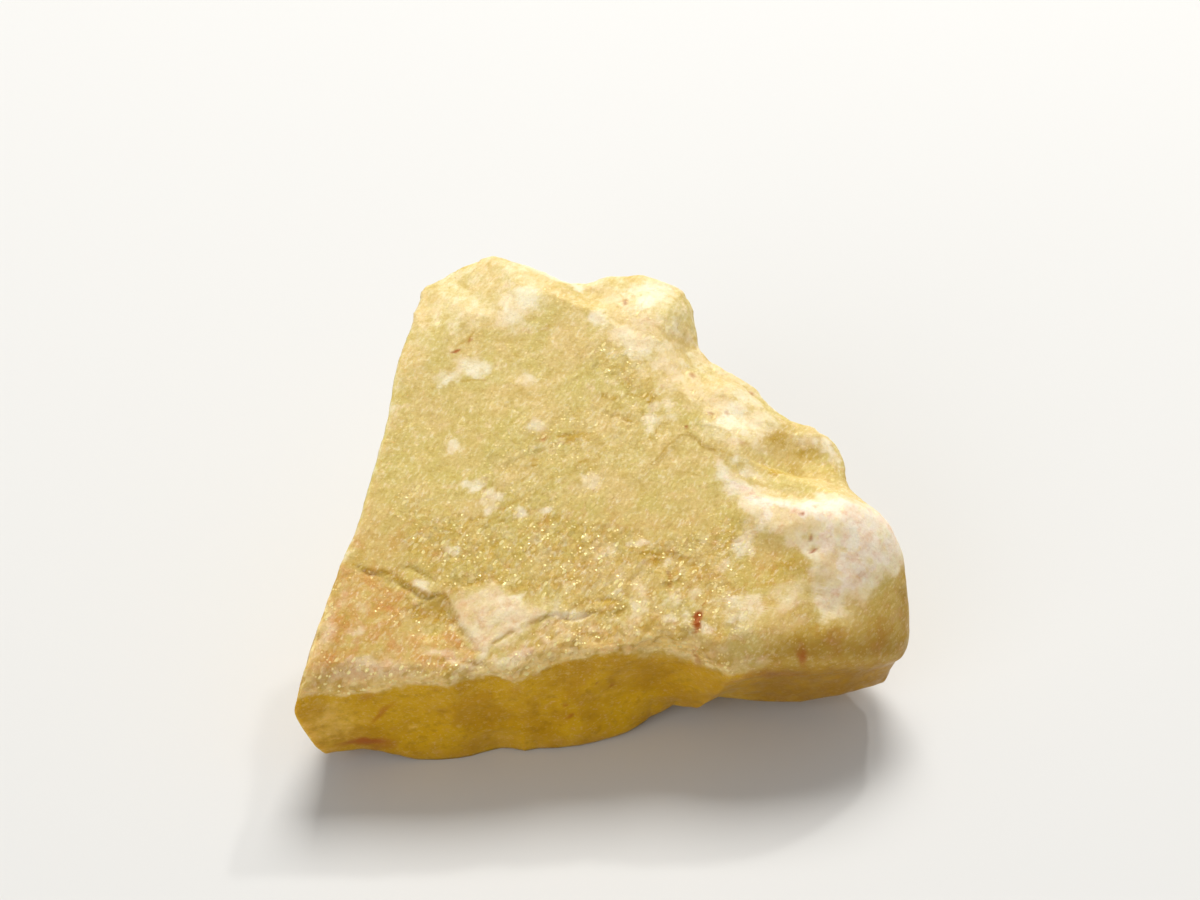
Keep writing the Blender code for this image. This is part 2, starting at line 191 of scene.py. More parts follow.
def smooth(value):
    """0 below 0, 1 above 1, and an even S between them."""
    held = np.clip(value, 0, 1)
    return held * held * (3 - 2 * held)


def waves(points, size, seed):
    """Hills from -1 to 1, about size across, from a lattice of random heights blended by an S curve."""
    heights = np.random.default_rng(seed).uniform(-1, 1, (LATTICE,) * 3)
    place = points / size + LATTICE / 2
    cell = np.floor(place).astype(int)
    share = smooth(place - cell)
    total = np.zeros(len(points))
    for corner in itertools.product((0, 1), repeat=3):
        weight = np.prod(np.where(corner, share, 1 - share), axis=1)
        total += weight * heights[tuple(((cell + corner) % LATTICE).T)]
    return total


def rough_waves(points, size, seed, octaves=4):
    """Waves, and on them waves of half their size and half their height, and so on."""
    layers = [waves(points, size / 2 ** k, seed + k) / 2 ** k for k in range(octaves)]
    return sum(layers) / (2 - 0.5 ** (octaves - 1))


def scoops(points, size, seed):
    """0 in each bowl to about 1 on the ridges: the squared distance to the nearest scattered centre."""
    centres = np.random.default_rng(seed).uniform(0.1, 0.9, (LATTICE, LATTICE, LATTICE, 3))
    place = points / size + LATTICE / 2
    cell = np.floor(place).astype(int)
    nearest = np.full(len(points), np.inf)
    for step in itertools.product((-1, 0, 1), repeat=3):
        there = cell + step
        away = there + centres[tuple((there % LATTICE).T)] - place
        nearest = np.minimum(nearest, (away ** 2).sum(axis=1))
    return np.clip(nearest / 0.6, 0, 1)


trial = waves(np.random.default_rng(0).uniform(-9, 9, (4000, 3)), 2.0, 1)
print("waves run from %.2f to %.2f" % (trial.min(), trial.max()))

# %% [markdown]
# ## Ledges and swellings
# A danburite face is not one clean mirror. Where a flake came away, the ground drops at a thin line and
# climbs slowly back, so a ledge needs three facts: its line, its height, and how far it takes to level
# out again. Wider hollows and knobs are smooth ovals. A sculpting brush could do this too, but a table
# of lines in millimetres can be measured, corrected and read. A ledge needs the distance from every
# point of the face to its line, which is worked out once for each straight run, for all points.

# %% Distance to a line
def line_gap(x, y, line):
    """Each point's distance to a line of straight runs, its side (1 on the right, seen along the line,
    else 0), and how far along the line its nearest place is, from 0 to 1. The nearest place on a run is
    the foot of the perpendicular, held between the run's two ends."""
    corners = np.array(line, float)
    lengths = np.hypot(*np.diff(corners, axis=0).T)
    started = np.append(0.0, np.cumsum(lengths))
    gap = np.full(x.shape, np.inf)
    side = np.zeros(x.shape)
    along = np.zeros(x.shape)
    for start, end, length, before in zip(corners[:-1], corners[1:], lengths, started):
        ahead = (end - start) / length
        run = np.clip((x - start[0]) * ahead[0] + (y - start[1]) * ahead[1], 0, length)
        off_x = x - start[0] - run * ahead[0]
        off_y = y - start[1] - run * ahead[1]
        closer = np.hypot(off_x, off_y) < gap - 1e-6
        gap = np.where(closer, np.hypot(off_x, off_y), gap)
        side = np.where(closer, off_x * ahead[1] - off_y * ahead[0] > 0, side)
        along = np.where(closer, (before + run) / started[-1], along)
    return gap, side, along


# %% Ledges
# Height, reach of the climb back, and the line; the ground drops on the line's right-hand side.
LEDGES = {
    "front_scar": (0.14, 3.2, [
        (-12.4, -5.9), (-10.9, -6.3), (-9.9, -6.7), (-8.9, -7.2), (-7.9, -7.4), (-7.1, -8.5), (-6.0, -9.8),
    ]),
    "flake_lip": (0.06, 2.0, [
        (-6.6, -9.6), (-5.8, -9.7), (-5.4, -9.3), (-4.3, -8.7), (-3.1, -8.3), (-1.0, -8.1), (0.9, -7.8),
    ]),
    "upper_chip": (0.07, 0.9, [(-10.3, -5.9), (-9.2, -6.1), (-8.2, -6.7)]),
    "diagonal_step": (0.03, 1.6, [(-7.4, -4.8), (-5.8, -4.0), (-4.0, -3.4), (-2.2, -2.7)]),
    "middle_step": (0.03, 1.8, [(-5.6, -1.4), (-3.4, -0.5), (-1.4, -0.6), (0.6, 0.3)]),
    "chevron": (0.06, 3.2, [
        (0.5, -2.9), (1.9, -1.4), (2.7, -0.7), (3.7, 0.2), (5.1, -0.7), (5.9, -1.0), (6.6, -1.7),
        (7.3, -2.6),
    ]),
    "low_right_step": (0.02, 1.8, [(0.6, -6.2), (2.2, -5.6), (4.0, -5.6), (5.8, -4.7), (7.2, -4.6)]),
}
LEDGE_EDGE = 0.14  # how far a ledge takes to drop: the finer grid can hold a crisper edge than the solid
LEDGE_ENDS = 0.12  # the share of its line over which a ledge rises from nothing, at both ends


def ledge(x, y, height, reach, line):
    """A step: the ground drops by the height on the right of the line and climbs back over the reach. It
    fades towards both ends of the line."""
    gap, side, along = line_gap(x, y, line)
    ends = smooth(np.minimum(along, 1 - along) / LEDGE_ENDS)
    return -height * side * ends * smooth(gap / LEDGE_EDGE) * np.clip(1 - gap / reach, 0, 1)


below_scar = ledge(np.array([-10.9]), np.array([-7.3]), *LEDGES["front_scar"])
print("ledges: %d | 1 mm below the front scar's line, mm: %.2f" % (len(LEDGES), below_scar[0]))

# %% Swellings
# Middle, half length, half width, bearing of the length in degrees, height (negative for a hollow).
SWELLINGS = {
    "notch_hollow": ((8.7, -0.7), 2.4, 1.3, 25, -0.32),
    "ridge_root": ((8.3, -4.1), 2.1, 1.2, -18, 0.45),
    "ridge": ((11.6, -4.2), 3.0, 1.7, -12, 0.60),
    "ridge_shoulder": ((11.0, -5.4), 3.0, 2.0, -12, 0.55),
    "lobe_knob": ((12.0, -6.9), 1.7, 1.5, 60, 0.35),
    "lobe_cheek": ((8.9, -6.9), 2.3, 1.5, 35, 0.15),
    "scar_scoop": ((-8.4, -8.4), 1.2, 0.9, 10, -0.18),
    "summit_bump": ((2.6, 6.6), 1.8, 1.4, 20, 0.30),
    "summit_saddle": ((-1.0, 7.4), 1.0, 1.3, 90, -0.25),
    "right_bump": ((6.6, 2.4), 1.9, 1.0, -30, 0.28),
    "right_knuckle": ((10.5, 1.2), 1.2, 1.0, -20, 0.20),
}


def oval(x, y, middle, half_length, half_width, bearing):
    """1 in the middle of a turned oval and 0 a little outside it: an S curve of the distance, counted in
    half lengths along the oval and half widths across it."""
    turned = np.radians(bearing)
    along = ((x - middle[0]) * np.cos(turned) + (y - middle[1]) * np.sin(turned)) / half_length
    across = ((y - middle[1]) * np.cos(turned) - (x - middle[0]) * np.sin(turned)) / half_width
    return smooth(1.3 - np.hypot(along, across))


print("swellings:", len(SWELLINGS))

# %% [markdown]
# ## The edge and the walls
# The face's edge is a closed run of corners. A number called turn, from 0 to 1, walks once round it.
# Below each place on the edge hangs a wall, and the table of walls says how far it comes in at half its
# height and at its foot. Reading both tables with np.interp turns a few dozen rows into a value for
# every point of a grid, however fine that grid is.

# %% Edge and walls
def edge_at(turn):
    """x, y, drop and slope width of the edge, by the share of its length; corners sit on even steps."""
    corners = np.array([corner for stretch in EDGE.values() for corner in stretch])
    closed = np.vstack([corners, corners[:1]])
    along = np.append(0.0, np.cumsum(np.hypot(*np.diff(closed[:, :2], axis=0).T)))
    along = np.round(along / along[-1] * EDGE_GRID) / EDGE_GRID
    return [np.interp(turn, along, column) for column in closed.T]


def worn_edge(turn, reach):
    """The edge with its corners evened out: the mean of nine places on it, within reach to each side."""
    turns = [edge_at((turn + shift) % 1)[:2] for shift in np.linspace(-reach, reach, 9)]
    return np.mean(turns, axis=0).T


def wall_at(x, y):
    """Inset at half height, inset at the foot, foot height and roughness, by bearing from the middle: the
    mean of the table's values at seven bearings, WALL_BLEND degrees to each side, so no row shows as a
    crease down the wall."""
    bearing = np.degrees(np.arctan2(y - MIDDLE[1], x - MIDDLE[0]))
    stations = np.array(WALL).T
    around = bearing + np.linspace(-WALL_BLEND, WALL_BLEND, 7)[:, None]
    return [np.interp(around, stations[0], column, period=360).mean(axis=0) for column in stations[1:]]


turns = np.linspace(0, 1, 200)
print("edge spans x %.1f to %.1f mm" % (edge_at(turns)[0].min(), edge_at(turns)[0].max()))

# %% [markdown]
# ## The skin, as three functions
# The whole skin of the stone is three surfaces, each a function of two numbers. The crystal face runs
# out from the middle to the edge, the walls run down from the edge to the foot, and the underside runs
# out from the middle of its flat pad to the foot again. Neighbours share their border, so the stone is
# closed without any joining. The walls are the interesting ones: they bulge, they are scooped and
# chipped, and the large break planes cut them flat.

# %% Crystal face
def face_points(turn, out):
    """The face, for out from 0 at the middle to 1 at the edge: a tilted plane, less the slope to the
    edge, plus ledges, swellings and low waves, which all fade on the last stretch to the edge."""
    edge_x, edge_y, drop, slope_width = edge_at(turn)
    x = MIDDLE[0] + out * (edge_x - MIDDLE[0])
    y = MIDDLE[1] + out * (edge_y - MIDDLE[1])
    plane = FACE_HEIGHT + np.tan(FACE_TILT) * y
    slope = drop * np.clip((out - 1 + slope_width) / slope_width, 0, 1) ** SLOPE_CURVE
    relief = sum(ledge(x, y, *measures) for measures in LEDGES.values())
    relief += sum(height * oval(x, y, *place) for *place, height in SWELLINGS.values())
    relief += FACE_WAVES * waves(np.column_stack([x, y, 0 * x]), WAVE_SIZE, 3)
    return np.column_stack([x, y, plane - slope + relief * smooth((1 - out) / RIM_FADE)])


# %% Broken walls
def wall_points(turn, down):
    """The walls, for down from 0 at the edge to 1 at the foot: the edge, moved in by a curve through the
    insets, with its corners worn or eased, then scooped and chipped, then cut back to the break planes."""
    edge = face_points(turn, np.ones(len(turn)))
    plan = edge[:, :2]
    away = (plan - MIDDLE) / np.linalg.norm(plan - MIDDLE, axis=1)[:, None]
    belly, foot, lift, roughness = wall_at(*plan.T)
    height = edge[:, 2] + (lift - edge[:, 2]) * down
    inset = 4 * belly * down * (1 - down) + foot * down * (2 * down - 1)
    broken = smooth((roughness - 0.4) / 0.4)
    worn = (worn_edge(turn, WORN_TURN) - plan) * (broken * smooth(down / WORN_DEPTH))[:, None]
    between = smooth(down / EASED_DEPTH) * smooth((1 - down) / EASED_DEPTH)
    between = between * smooth((plan[:, 0] - SHARP_CORNER[0]) / SHARP_CORNER[1])
    eased = (worn_edge(turn, EASED_TURN) - plan) * ((1 - broken) * between)[:, None]
    plan = plan - away * inset[:, None] + worn + eased

    whole = np.column_stack([plan, height])
    rough = BREAK_SCOOPS * scoops(whole, SCOOP_SIZE, 11) + BREAK_CHIPS * scoops(whole, CHIP_SIZE, 12)
    rough = (rough - (BREAK_SCOOPS + BREAK_CHIPS) / 2) * roughness * np.sqrt(4 * down * (1 - down))
    reach = np.linalg.norm(plan - MIDDLE, axis=1)
    away = (plan - MIDDLE) / reach[:, None]
    reach = reach + rough
    for bearing, lean, distance in BREAK_PLANES.values():
        facing = away @ (np.cos(np.radians(bearing)), np.sin(np.radians(bearing)))
        allowed = (distance - (height - BREAK_HEIGHT) * np.tan(np.radians(lean))) / np.maximum(facing, 0.2)
        reach = reach - np.maximum(reach - allowed, 0) * BREAK_SHARE * broken * smooth(down / 0.3)
    return np.column_stack([MIDDLE + away * reach[:, None], height])


# %% Underside
def under_points(turn, out):
    """The underside: a flat pad, and round it a hollowed break that rises to the foot of each wall."""
    foot = wall_points(turn, np.ones(len(turn)))
    plan = MIDDLE + out[:, None] * (foot[:, :2] - MIDDLE)
    off_pad = (out - PAD_SHARE) / (1 - PAD_SHARE)
    hollows = FOOT_HOLLOWS * (1 - scoops(np.column_stack([plan, 0 * out]), SCOOP_SIZE, 13))
    height = foot[:, 2] * smooth(off_pad) + hollows * smooth(3 * off_pad) * smooth((1 - out) / 0.1)
    return np.column_stack([plan, height])


print("middle of the face is %.2f mm up" % face_points(np.zeros(1), np.zeros(1))[0, 2])

# %% [markdown]
# ## One closed grid
# The three surfaces become one mesh. The face is a square grid whose rings are pulled out to the edge,
# as a cloth would be pulled over a drum: no point has many neighbours, and the grid is even where the
# eye looks. The walls go on from the face's rim row by row, and the underside closes in rings to one
# point that stays on the pad. About 0.12 mm between points is fine enough for steps thinner than a hair.

# %% Grid
CELLS = 216
WALL_ROWS = 44
UNDER_RINGS = 8
RIM = 4 * CELLS
FACE_POINTS = (CELLS + 1) ** 2
WALL_LENGTH = 7.5  # millimetres from the rim to the foot, near enough for a band along the rim


def face_grid():
    """turn and out of the points of a square grid: out is the larger of |a| and |b|, and turn walks the
    square's four sides, clockwise from above, from the front left corner."""
    b, a = np.mgrid[-1:1:(CELLS + 1) * 1j, -1:1:(CELLS + 1) * 1j]
    a, b = a.ravel(), b.ravel()
    out = np.maximum(np.abs(a), np.abs(b))
    across = a / np.maximum(out, 1e-9)
    ahead = b / np.maximum(out, 1e-9)
    side = np.select([across <= -1, ahead >= 1, across >= 1], [0, 1, 2], 3)
    share = np.choose(side, [ahead, across, -ahead, -across])
    return (side + (share + 1) / 2) / 4 % 1, out


def grid_faces():
    """Quads of the face, the walls and the underside, facing outwards, and the last fan of triangles."""
    square = np.arange(FACE_POINTS).reshape(CELLS + 1, CELLS + 1)
    quads = [np.stack([square[:-1, :-1], square[:-1, 1:], square[1:, 1:], square[1:, :-1]], axis=-1)]
    rim = np.concatenate([square[:-1, 0], square[-1, :-1], square[:0:-1, -1], square[0, :0:-1]])
    rings = FACE_POINTS + np.arange((WALL_ROWS + UNDER_RINGS - 1) * RIM).reshape(-1, RIM)
    upper = np.vstack([rim, rings[:-1]])
    quads.append(np.stack([upper, np.roll(upper, -1, 1), np.roll(rings, -1, 1), rings], axis=-1))
    last = rings[-1]
    fan = np.column_stack([last, np.roll(last, -1), np.full(RIM, rings.size + FACE_POINTS)])
    return np.vstack([group.reshape(-1, 4) for group in quads]), fan


ring_turn = np.arange(RIM) / RIM
face_turn, face_out = face_grid()
wall_down = np.repeat(np.arange(1, WALL_ROWS + 1) / WALL_ROWS, RIM)
under_out = np.repeat(1 - np.arange(1, UNDER_RINGS) / UNDER_RINGS, RIM)
base = np.vstack([
    face_points(face_turn, face_out),
    wall_points(np.tile(ring_turn, WALL_ROWS), wall_down),
    under_points(np.tile(ring_turn, UNDER_RINGS - 1), under_out),
    [[*MIDDLE, 0.0]],
])
quads, fan = grid_faces()
print("points:", len(base), "| triangles:", 2 * len(quads) + len(fan))

# %% [markdown]
# ## A blur over the mesh
# A mean of each point's neighbours, taken again and again, is a blur, and it has three uses here. It
# rounds edges: the bare rule leaves every edge as sharp as a knife, while a loose stone has knocked
# about. It steadies the directions in which the skin is pushed. And it finds hollows and crests for the
# colours. One sum over all of the mesh's edges gives the mean for every point at once.

# %% Blur
directed = np.vstack(
    [quads[:, [k, (k + 1) % 4]] for k in range(4)] + [fan[:, [k, (k + 1) % 3]] for k in range(3)]
)
neighbours = np.bincount(directed[:, 0])


def blurred(rows, passes):
    """Rows of numbers, one for each point, after so many passes: each pass gives a point the mean of its
    neighbours, which is a sum over the edges that leave it, over their number."""
    for _ in range(passes):
        sums = [np.bincount(directed[:, 0], weights=column[directed[:, 1]]) for column in rows.T]
        rows = np.column_stack(sums) / neighbours[:, None]
    return rows


print("neighbours of a point: %d to %d" % (neighbours.min(), neighbours.max()))

# %% Round the edges
FINE_ROUNDING, FINE_BAND = 6, 0.8  # passes of the blur, for about 0.2 mm, and how wide a band along the rim
WIDE_ROUNDING, WIDE_BAND = 90, 2.2  # the same for the rim of the lobe, rounded by about 0.8 mm
ON_LOBE = 5.0, 3.0  # the lobe is right of this x, and fully so these millimetres further on
down = np.concatenate([np.zeros(FACE_POINTS), wall_down, np.ones(len(under_out) + 1)])
out = np.concatenate([face_out, np.ones(len(wall_down)), under_out, [0.0]])
rim_x, rim_y = edge_at(np.concatenate([face_turn, np.zeros(len(base) - FACE_POINTS)]))[:2]
face_gap = (1 - out) * np.hypot(rim_x - MIDDLE[0], rim_y - MIDDLE[1])
rim_gap = np.where(down > 0, down * WALL_LENGTH, face_gap)
on_lobe = smooth((base[:, 0] - ON_LOBE[0]) / ON_LOBE[1]) * smooth(0.5 - base[:, 1] / 2)
fine = blurred(base, FINE_ROUNDING)
wide = blurred(fine, WIDE_ROUNDING)
fine_share = smooth(1.4 - rim_gap / FINE_BAND) * (1 - 0.5 * (base[:, 0] < ON_LOBE[0]))
wide_share = 0.8 * on_lobe * smooth(1.4 - rim_gap / WIDE_BAND)
base = base + fine_share[:, None] * (fine - base)
base = base + wide_share[:, None] * (wide - base)
print("moved by the rounding, mm: %.2f at most" % np.abs(wide_share[:, None] * (wide - base)).max())

# %% [markdown]
# ## Regions
# One crystal shows several kinds of surface, side by side: a waxy break, a frosted face, a stepped
# cleavage, bruised milky lumps. Each kind gets a region, drawn as an outline, a line or an oval on the
# plan of the face, and the relief and the colours both read the same regions. The borders are made
# uneven by looking every point up a little beside its own place, by an amount that noise decides, which
# bends the straight outlines without adding a single corner to them.

# %% Region helpers
def inside(x, y, outline):
    """1 inside a closed outline, else 0: a ray towards +X crosses the outline an odd number of times."""
    corners = np.array(outline)
    crossings = np.zeros(x.shape, int)
    for start, end in zip(corners, np.roll(corners, -1, axis=0)):
        straddled = (start[1] > y) != (end[1] > y)
        rise = end[1] - start[1] if end[1] != start[1] else 1.0
        crossings += straddled & (x < start[0] + (y - start[1]) / rise * (end[0] - start[0]))
    return crossings % 2


def patch(x, y, outline, soft=0.5):
    """1 inside an outline, 0 outside it, blended evenly over soft millimetres across its border."""
    gap = line_gap(x, y, [*outline, outline[0]])[0]
    return smooth(0.5 + np.where(inside(x, y, outline), gap, -gap) / soft)


def stroke(x, y, width, line):
    """1 on a line and 0 from width away, thinning out to nothing at both of its ends."""
    gap, _, along = line_gap(x, y, line)
    width = width * smooth(np.minimum(along, 1 - along) / 0.3 + 0.25)
    return smooth(1 - gap / width)


# %% Outlines of the regions
REGIONS = {
    "stepped_middle": [
        (-5.5, 0.5), (-2.5, 1.4), (-0.5, 2.2), (2.2, 2.2), (2.9, 0.7), (1.5, -1.0), (0.1, -2.4),
        (-2.4, -3.8), (-5.1, -4.2), (-6.4, -2.8),
    ],
    "front_strip": [
        (1.0, -4.8), (4.4, -4.2), (6.9, -4.2), (7.1, -5.5), (6.0, -7.3), (7.2, -7.6), (6.7, -9.1),
        (4.3, -9.5), (1.4, -9.4), (-1.0, -9.1), (-3.0, -8.3), (-0.7, -7.4), (0.8, -6.2),
    ],
    "glitter_belt": [
        (-8.6, -3.9), (-5.1, -4.2), (-2.4, -4.0), (1.4, -4.2), (1.0, -5.6), (0.5, -7.4), (-2.4, -8.0),
        (-3.9, -7.1), (-6.7, -7.0), (-8.6, -7.0),
    ],
    "scar": [
        (-13.0, -5.9), (-10.9, -6.3), (-9.1, -7.2), (-8.2, -7.3), (-7.4, -7.8), (-7.1, -9.1),
        (-6.0, -10.0), (-8.1, -11.0), (-14.6, -11.6), (-13.9, -8.6),
    ],
    "corner_facet": [
        (-9.8, 8.6), (-6.0, 10.4), (-2.8, 8.9), (-2.6, 7.7), (-3.6, 6.5), (-5.5, 5.6), (-7.0, 5.1),
        (-9.0, 4.4), (-10.8, 4.2),
    ],
    "milky_band": [
        (-1.6, 8.6), (-0.5, 9.6), (1.6, 10.0), (3.4, 9.6), (4.0, 8.0), (4.4, 6.8), (4.8, 6.2), (5.4, 5.8),
        (6.6, 5.0), (7.8, 4.5), (8.2, 3.4), (8.8, 2.4), (8.8, 1.4), (8.0, 0.4), (7.4, -0.5), (6.4, -1.2),
        (5.5, -1.0), (4.6, -0.4), (4.3, 0.3), (4.3, 1.0), (3.9, 1.6), (3.0, 2.0), (2.2, 2.6), (1.4, 3.2),
        (0.5, 3.8), (-0.4, 4.8), (-1.0, 5.6), (-1.2, 6.9),
    ],
    "milky_lobe": [
        (5.2, -1.2), (6.3, -2.1), (7.3, -2.6), (8.7, -3.0), (10.5, -3.1), (11.6, -3.0), (13.0, -2.4),
        (14.0, -2.8), (14.4, -3.6), (13.9, -4.3), (13.2, -5.5), (12.4, -6.6), (11.5, -7.5), (10.8, -8.1),
        (10.0, -8.2), (9.8, -7.4), (9.9, -6.6), (9.8, -6.1), (9.3, -5.6), (8.8, -5.2), (8.2, -4.8),
        (7.4, -4.2), (6.6, -3.6), (5.8, -2.9), (5.2, -1.7),
    ],
    "white_flake": [
        (-7.6, -7.6), (-7.0, -7.3), (-5.8, -7.1), (-4.6, -7.3), (-3.9, -7.7), (-3.4, -8.0), (-2.2, -7.8),
        (-1.0, -8.0), (-1.2, -8.2), (-2.2, -8.3), (-3.4, -8.5), (-4.6, -9.0), (-5.5, -9.6), (-5.8, -9.9),
        (-6.5, -9.5), (-7.1, -8.9), (-7.1, -8.5), (-7.5, -7.9),
    ],
    "crumbly_rim": [
        (-8.0, -10.0), (-6.6, -9.9), (-5.4, -9.9), (-4.2, -9.0), (-2.6, -8.5), (-0.8, -8.4), (1.0, -8.5),
        (2.6, -8.8), (4.0, -9.0), (4.2, -10.0), (1.0, -10.0), (-2.4, -10.4), (-5.0, -11.3), (-8.4, -11.4),
    ],
    "clear_facet": [
        (3.6, 8.9), (4.4, 8.4), (4.8, 6.5), (4.8, 5.6), (4.0, 5.6), (3.5, 6.6), (3.4, 7.6),
    ],
    "apex_smear": [
        (-5.7, 5.4), (-5.6, 6.4), (-4.8, 7.3), (-4.0, 7.7), (-3.2, 7.3), (-3.3, 6.4), (-3.7, 5.7),
        (-4.6, 5.0),
    ],
    # The foot of the lobe only sets colour: it is painted darker, as painted shade, where it turns down and
    # forwards.
    "lobe_foot": [
        (8.6, -8.5), (10.4, -8.4), (11.8, -7.9), (12.8, -7.0), (13.6, -5.8), (14.2, -4.6), (15.4, -4.0),
        (15.4, -8.0), (13.2, -9.2), (11.6, -10.0), (8.4, -10.2), (6.8, -10.4), (7.6, -9.3),
    ],
    "streaked_slope": [
        (6.0, -7.2), (10.6, -6.8), (10.8, -8.1), (9.0, -9.9), (6.2, -10.4), (4.3, -9.4), (5.3, -7.7),
    ],
}
SOFT_BORDERS = {
    "white_flake": 0.9, "apex_smear": 1.8, "milky_band": 2.0, "milky_lobe": 1.8, "lobe_foot": 1.8,
    "crumbly_rim": 0.8, "corner_facet": 2.0, "clear_facet": 0.8,
}
SOFT_BORDER = 0.5  # how many millimetres wide the other regions' borders are
print("regions:", len(REGIONS))

# %% [markdown]
# ## Where the face ends
# The frosted skin of the face doesn't stop at the rim. At the front it hangs over the waxy break as a
# ragged crust, here more and there less, and on the lobe it turns down so smoothly that it fades out. So
# the regions of the face are cut off by a ragged line below the rim, and not by the rim itself.

# %% Regions on the skin
BORDER_SHIFTS = [(0.35, 1.5, 51), (0.16, 0.5, 53), (0.08, 0.25, 57)]  # how far, over what size, the seed
CRUST_HANG, CRUST_FADE = 0.05, 0.35  # how far the face goes on below the rim, and over what it fades out
RAGGED = 0.45  # how far noise moves the line where the face ends, in millimetres
LOBE_HANG, LOBE_FADE = 0.8, 2.4  # how far the face goes on over the rim of the lobe, and fades out there
# Middle in x, half width, extra hang and extra softness of each place where the crust hangs lower.
CRUST_HANGS = [
    (-11.8, 2.4, 0.55, 0.1), (-4.0, 1.9, 0.60, 0.0), (-0.8, 2.5, 0.20, 0.0), (3.2, 2.3, 0.75, 0.9),
]

spread = sum(far * waves(base, size, seed) for far, size, seed in BORDER_SHIFTS)
spread_y = sum(far * waves(base, size, seed + 1) for far, size, seed in BORDER_SHIFTS)
plan_x = base[:, 0] + spread
plan_y = base[:, 1] + spread_y

hang = (down > 0) * rim_gap - RAGGED * rough_waves(base, 0.7, 55, 3) - CRUST_HANG
fade = CRUST_FADE + LOBE_FADE * on_lobe
for middle, half, extra, softer in CRUST_HANGS:
    here = smooth(1.3 - abs(base[:, 0] - middle) / half)
    hang -= extra * here
    fade += softer * here
on_face = 1 - smooth((hang + LOBE_HANG * on_lobe) / fade)
on_face[:FACE_POINTS] = np.maximum(on_face[:FACE_POINTS], 1 - on_lobe[:FACE_POINTS])
region = {
    name: patch(plan_x, plan_y, outline, SOFT_BORDERS.get(name, SOFT_BORDER)) * on_face
    for name, outline in REGIONS.items()
}
for name, share in region.items():
    print("%-15s %5.1f %% of the points" % (name, 100 * share.mean()))

# %% [markdown]
# ## Fine relief
# What the solid leaves out is everything thinner than half a millimetre. It is added as a push along
# the surface's normal, in millimetres, and every region has its own recipe. Terraces are hills cut into
# flat steps with steep risers, which is how a cleavage breaks. Stretching the points before the noise
# is read draws the steps out along the crystal's grain. Facets are small planes that lean every way,
# pits are single bowls, and grooves are cracks.

# %% Relief helpers
def stretched(points, bearing, stretch):
    """The points turned so that a bearing lies along X, and drawn together along it: noise read there is
    long in that direction, stretch times its width."""
    turned = np.radians(bearing)
    along = points[:, 0] * np.cos(turned) + points[:, 1] * np.sin(turned)
    across = points[:, 1] * np.cos(turned) - points[:, 0] * np.sin(turned)
    return np.column_stack([along / stretch, across, points[:, 2]])


def terraces(points, size, steps, seed, riser=0.22):
    """Hills from -1 to 1 in flat steps: the height times steps is split into its whole part, and its
    fraction is pushed to 0 or 1 but for a steep riser between."""
    height = rough_waves(points, size, seed, 3) * steps
    whole = np.floor(height)
    return (whole + smooth((height - whole - 0.5) / riser + 0.5)) / steps


def pits(points, size, share, seed):
    """1 in the middle of a pit, 0 outside: one centre in each cube of a lattice, of which a share have
    a bowl, with a radius of its own of up to half a cube."""
    random = np.random.default_rng(seed)
    centres = random.uniform(0.2, 0.8, (LATTICE, LATTICE, LATTICE, 3))
    radii = random.uniform(0.15, 0.5, (LATTICE,) * 3) * (random.random((LATTICE,) * 3) < share) + 1e-6
    place = points / size + LATTICE / 2
    cell = np.floor(place).astype(int)
    deepest = np.zeros(len(points))
    for step in itertools.product((-1, 0, 1), repeat=3):
        there = tuple(((cell + step) % LATTICE).T)
        away = np.linalg.norm(cell + step + centres[there] - place, axis=1) / radii[there]
        deepest = np.maximum(deepest, 1 - away ** 2)
    return deepest


def facets(points, size, seed):
    """Flat little planes, in millimetres for a slant of up to 45 degrees: each point takes the plane of
    the nearest scattered centre, which is the dot product of a random slope with the way from there."""
    random = np.random.default_rng(seed)
    centres = random.uniform(0.1, 0.9, (LATTICE, LATTICE, LATTICE, 3))
    slopes = random.uniform(-1, 1, (LATTICE, LATTICE, LATTICE, 3))
    place = points / size + LATTICE / 2
    cell = np.floor(place).astype(int)
    nearest = np.full(len(points), np.inf)
    height = np.zeros(len(points))
    for step in itertools.product((-1, 0, 1), repeat=3):
        there = tuple(((cell + step) % LATTICE).T)
        away = place - cell - step - centres[there]
        distance = (away ** 2).sum(axis=1)
        height = np.where(distance < nearest, (away * slopes[there]).sum(axis=1), height)
        nearest = np.minimum(nearest, distance)
    return height * size


trial = pits(base[::20], 1.0, 0.1, 5)
print("with a pit in a tenth of the cubes, %.1f %% of the points lie in one" % (100 * (trial > 0).mean()))

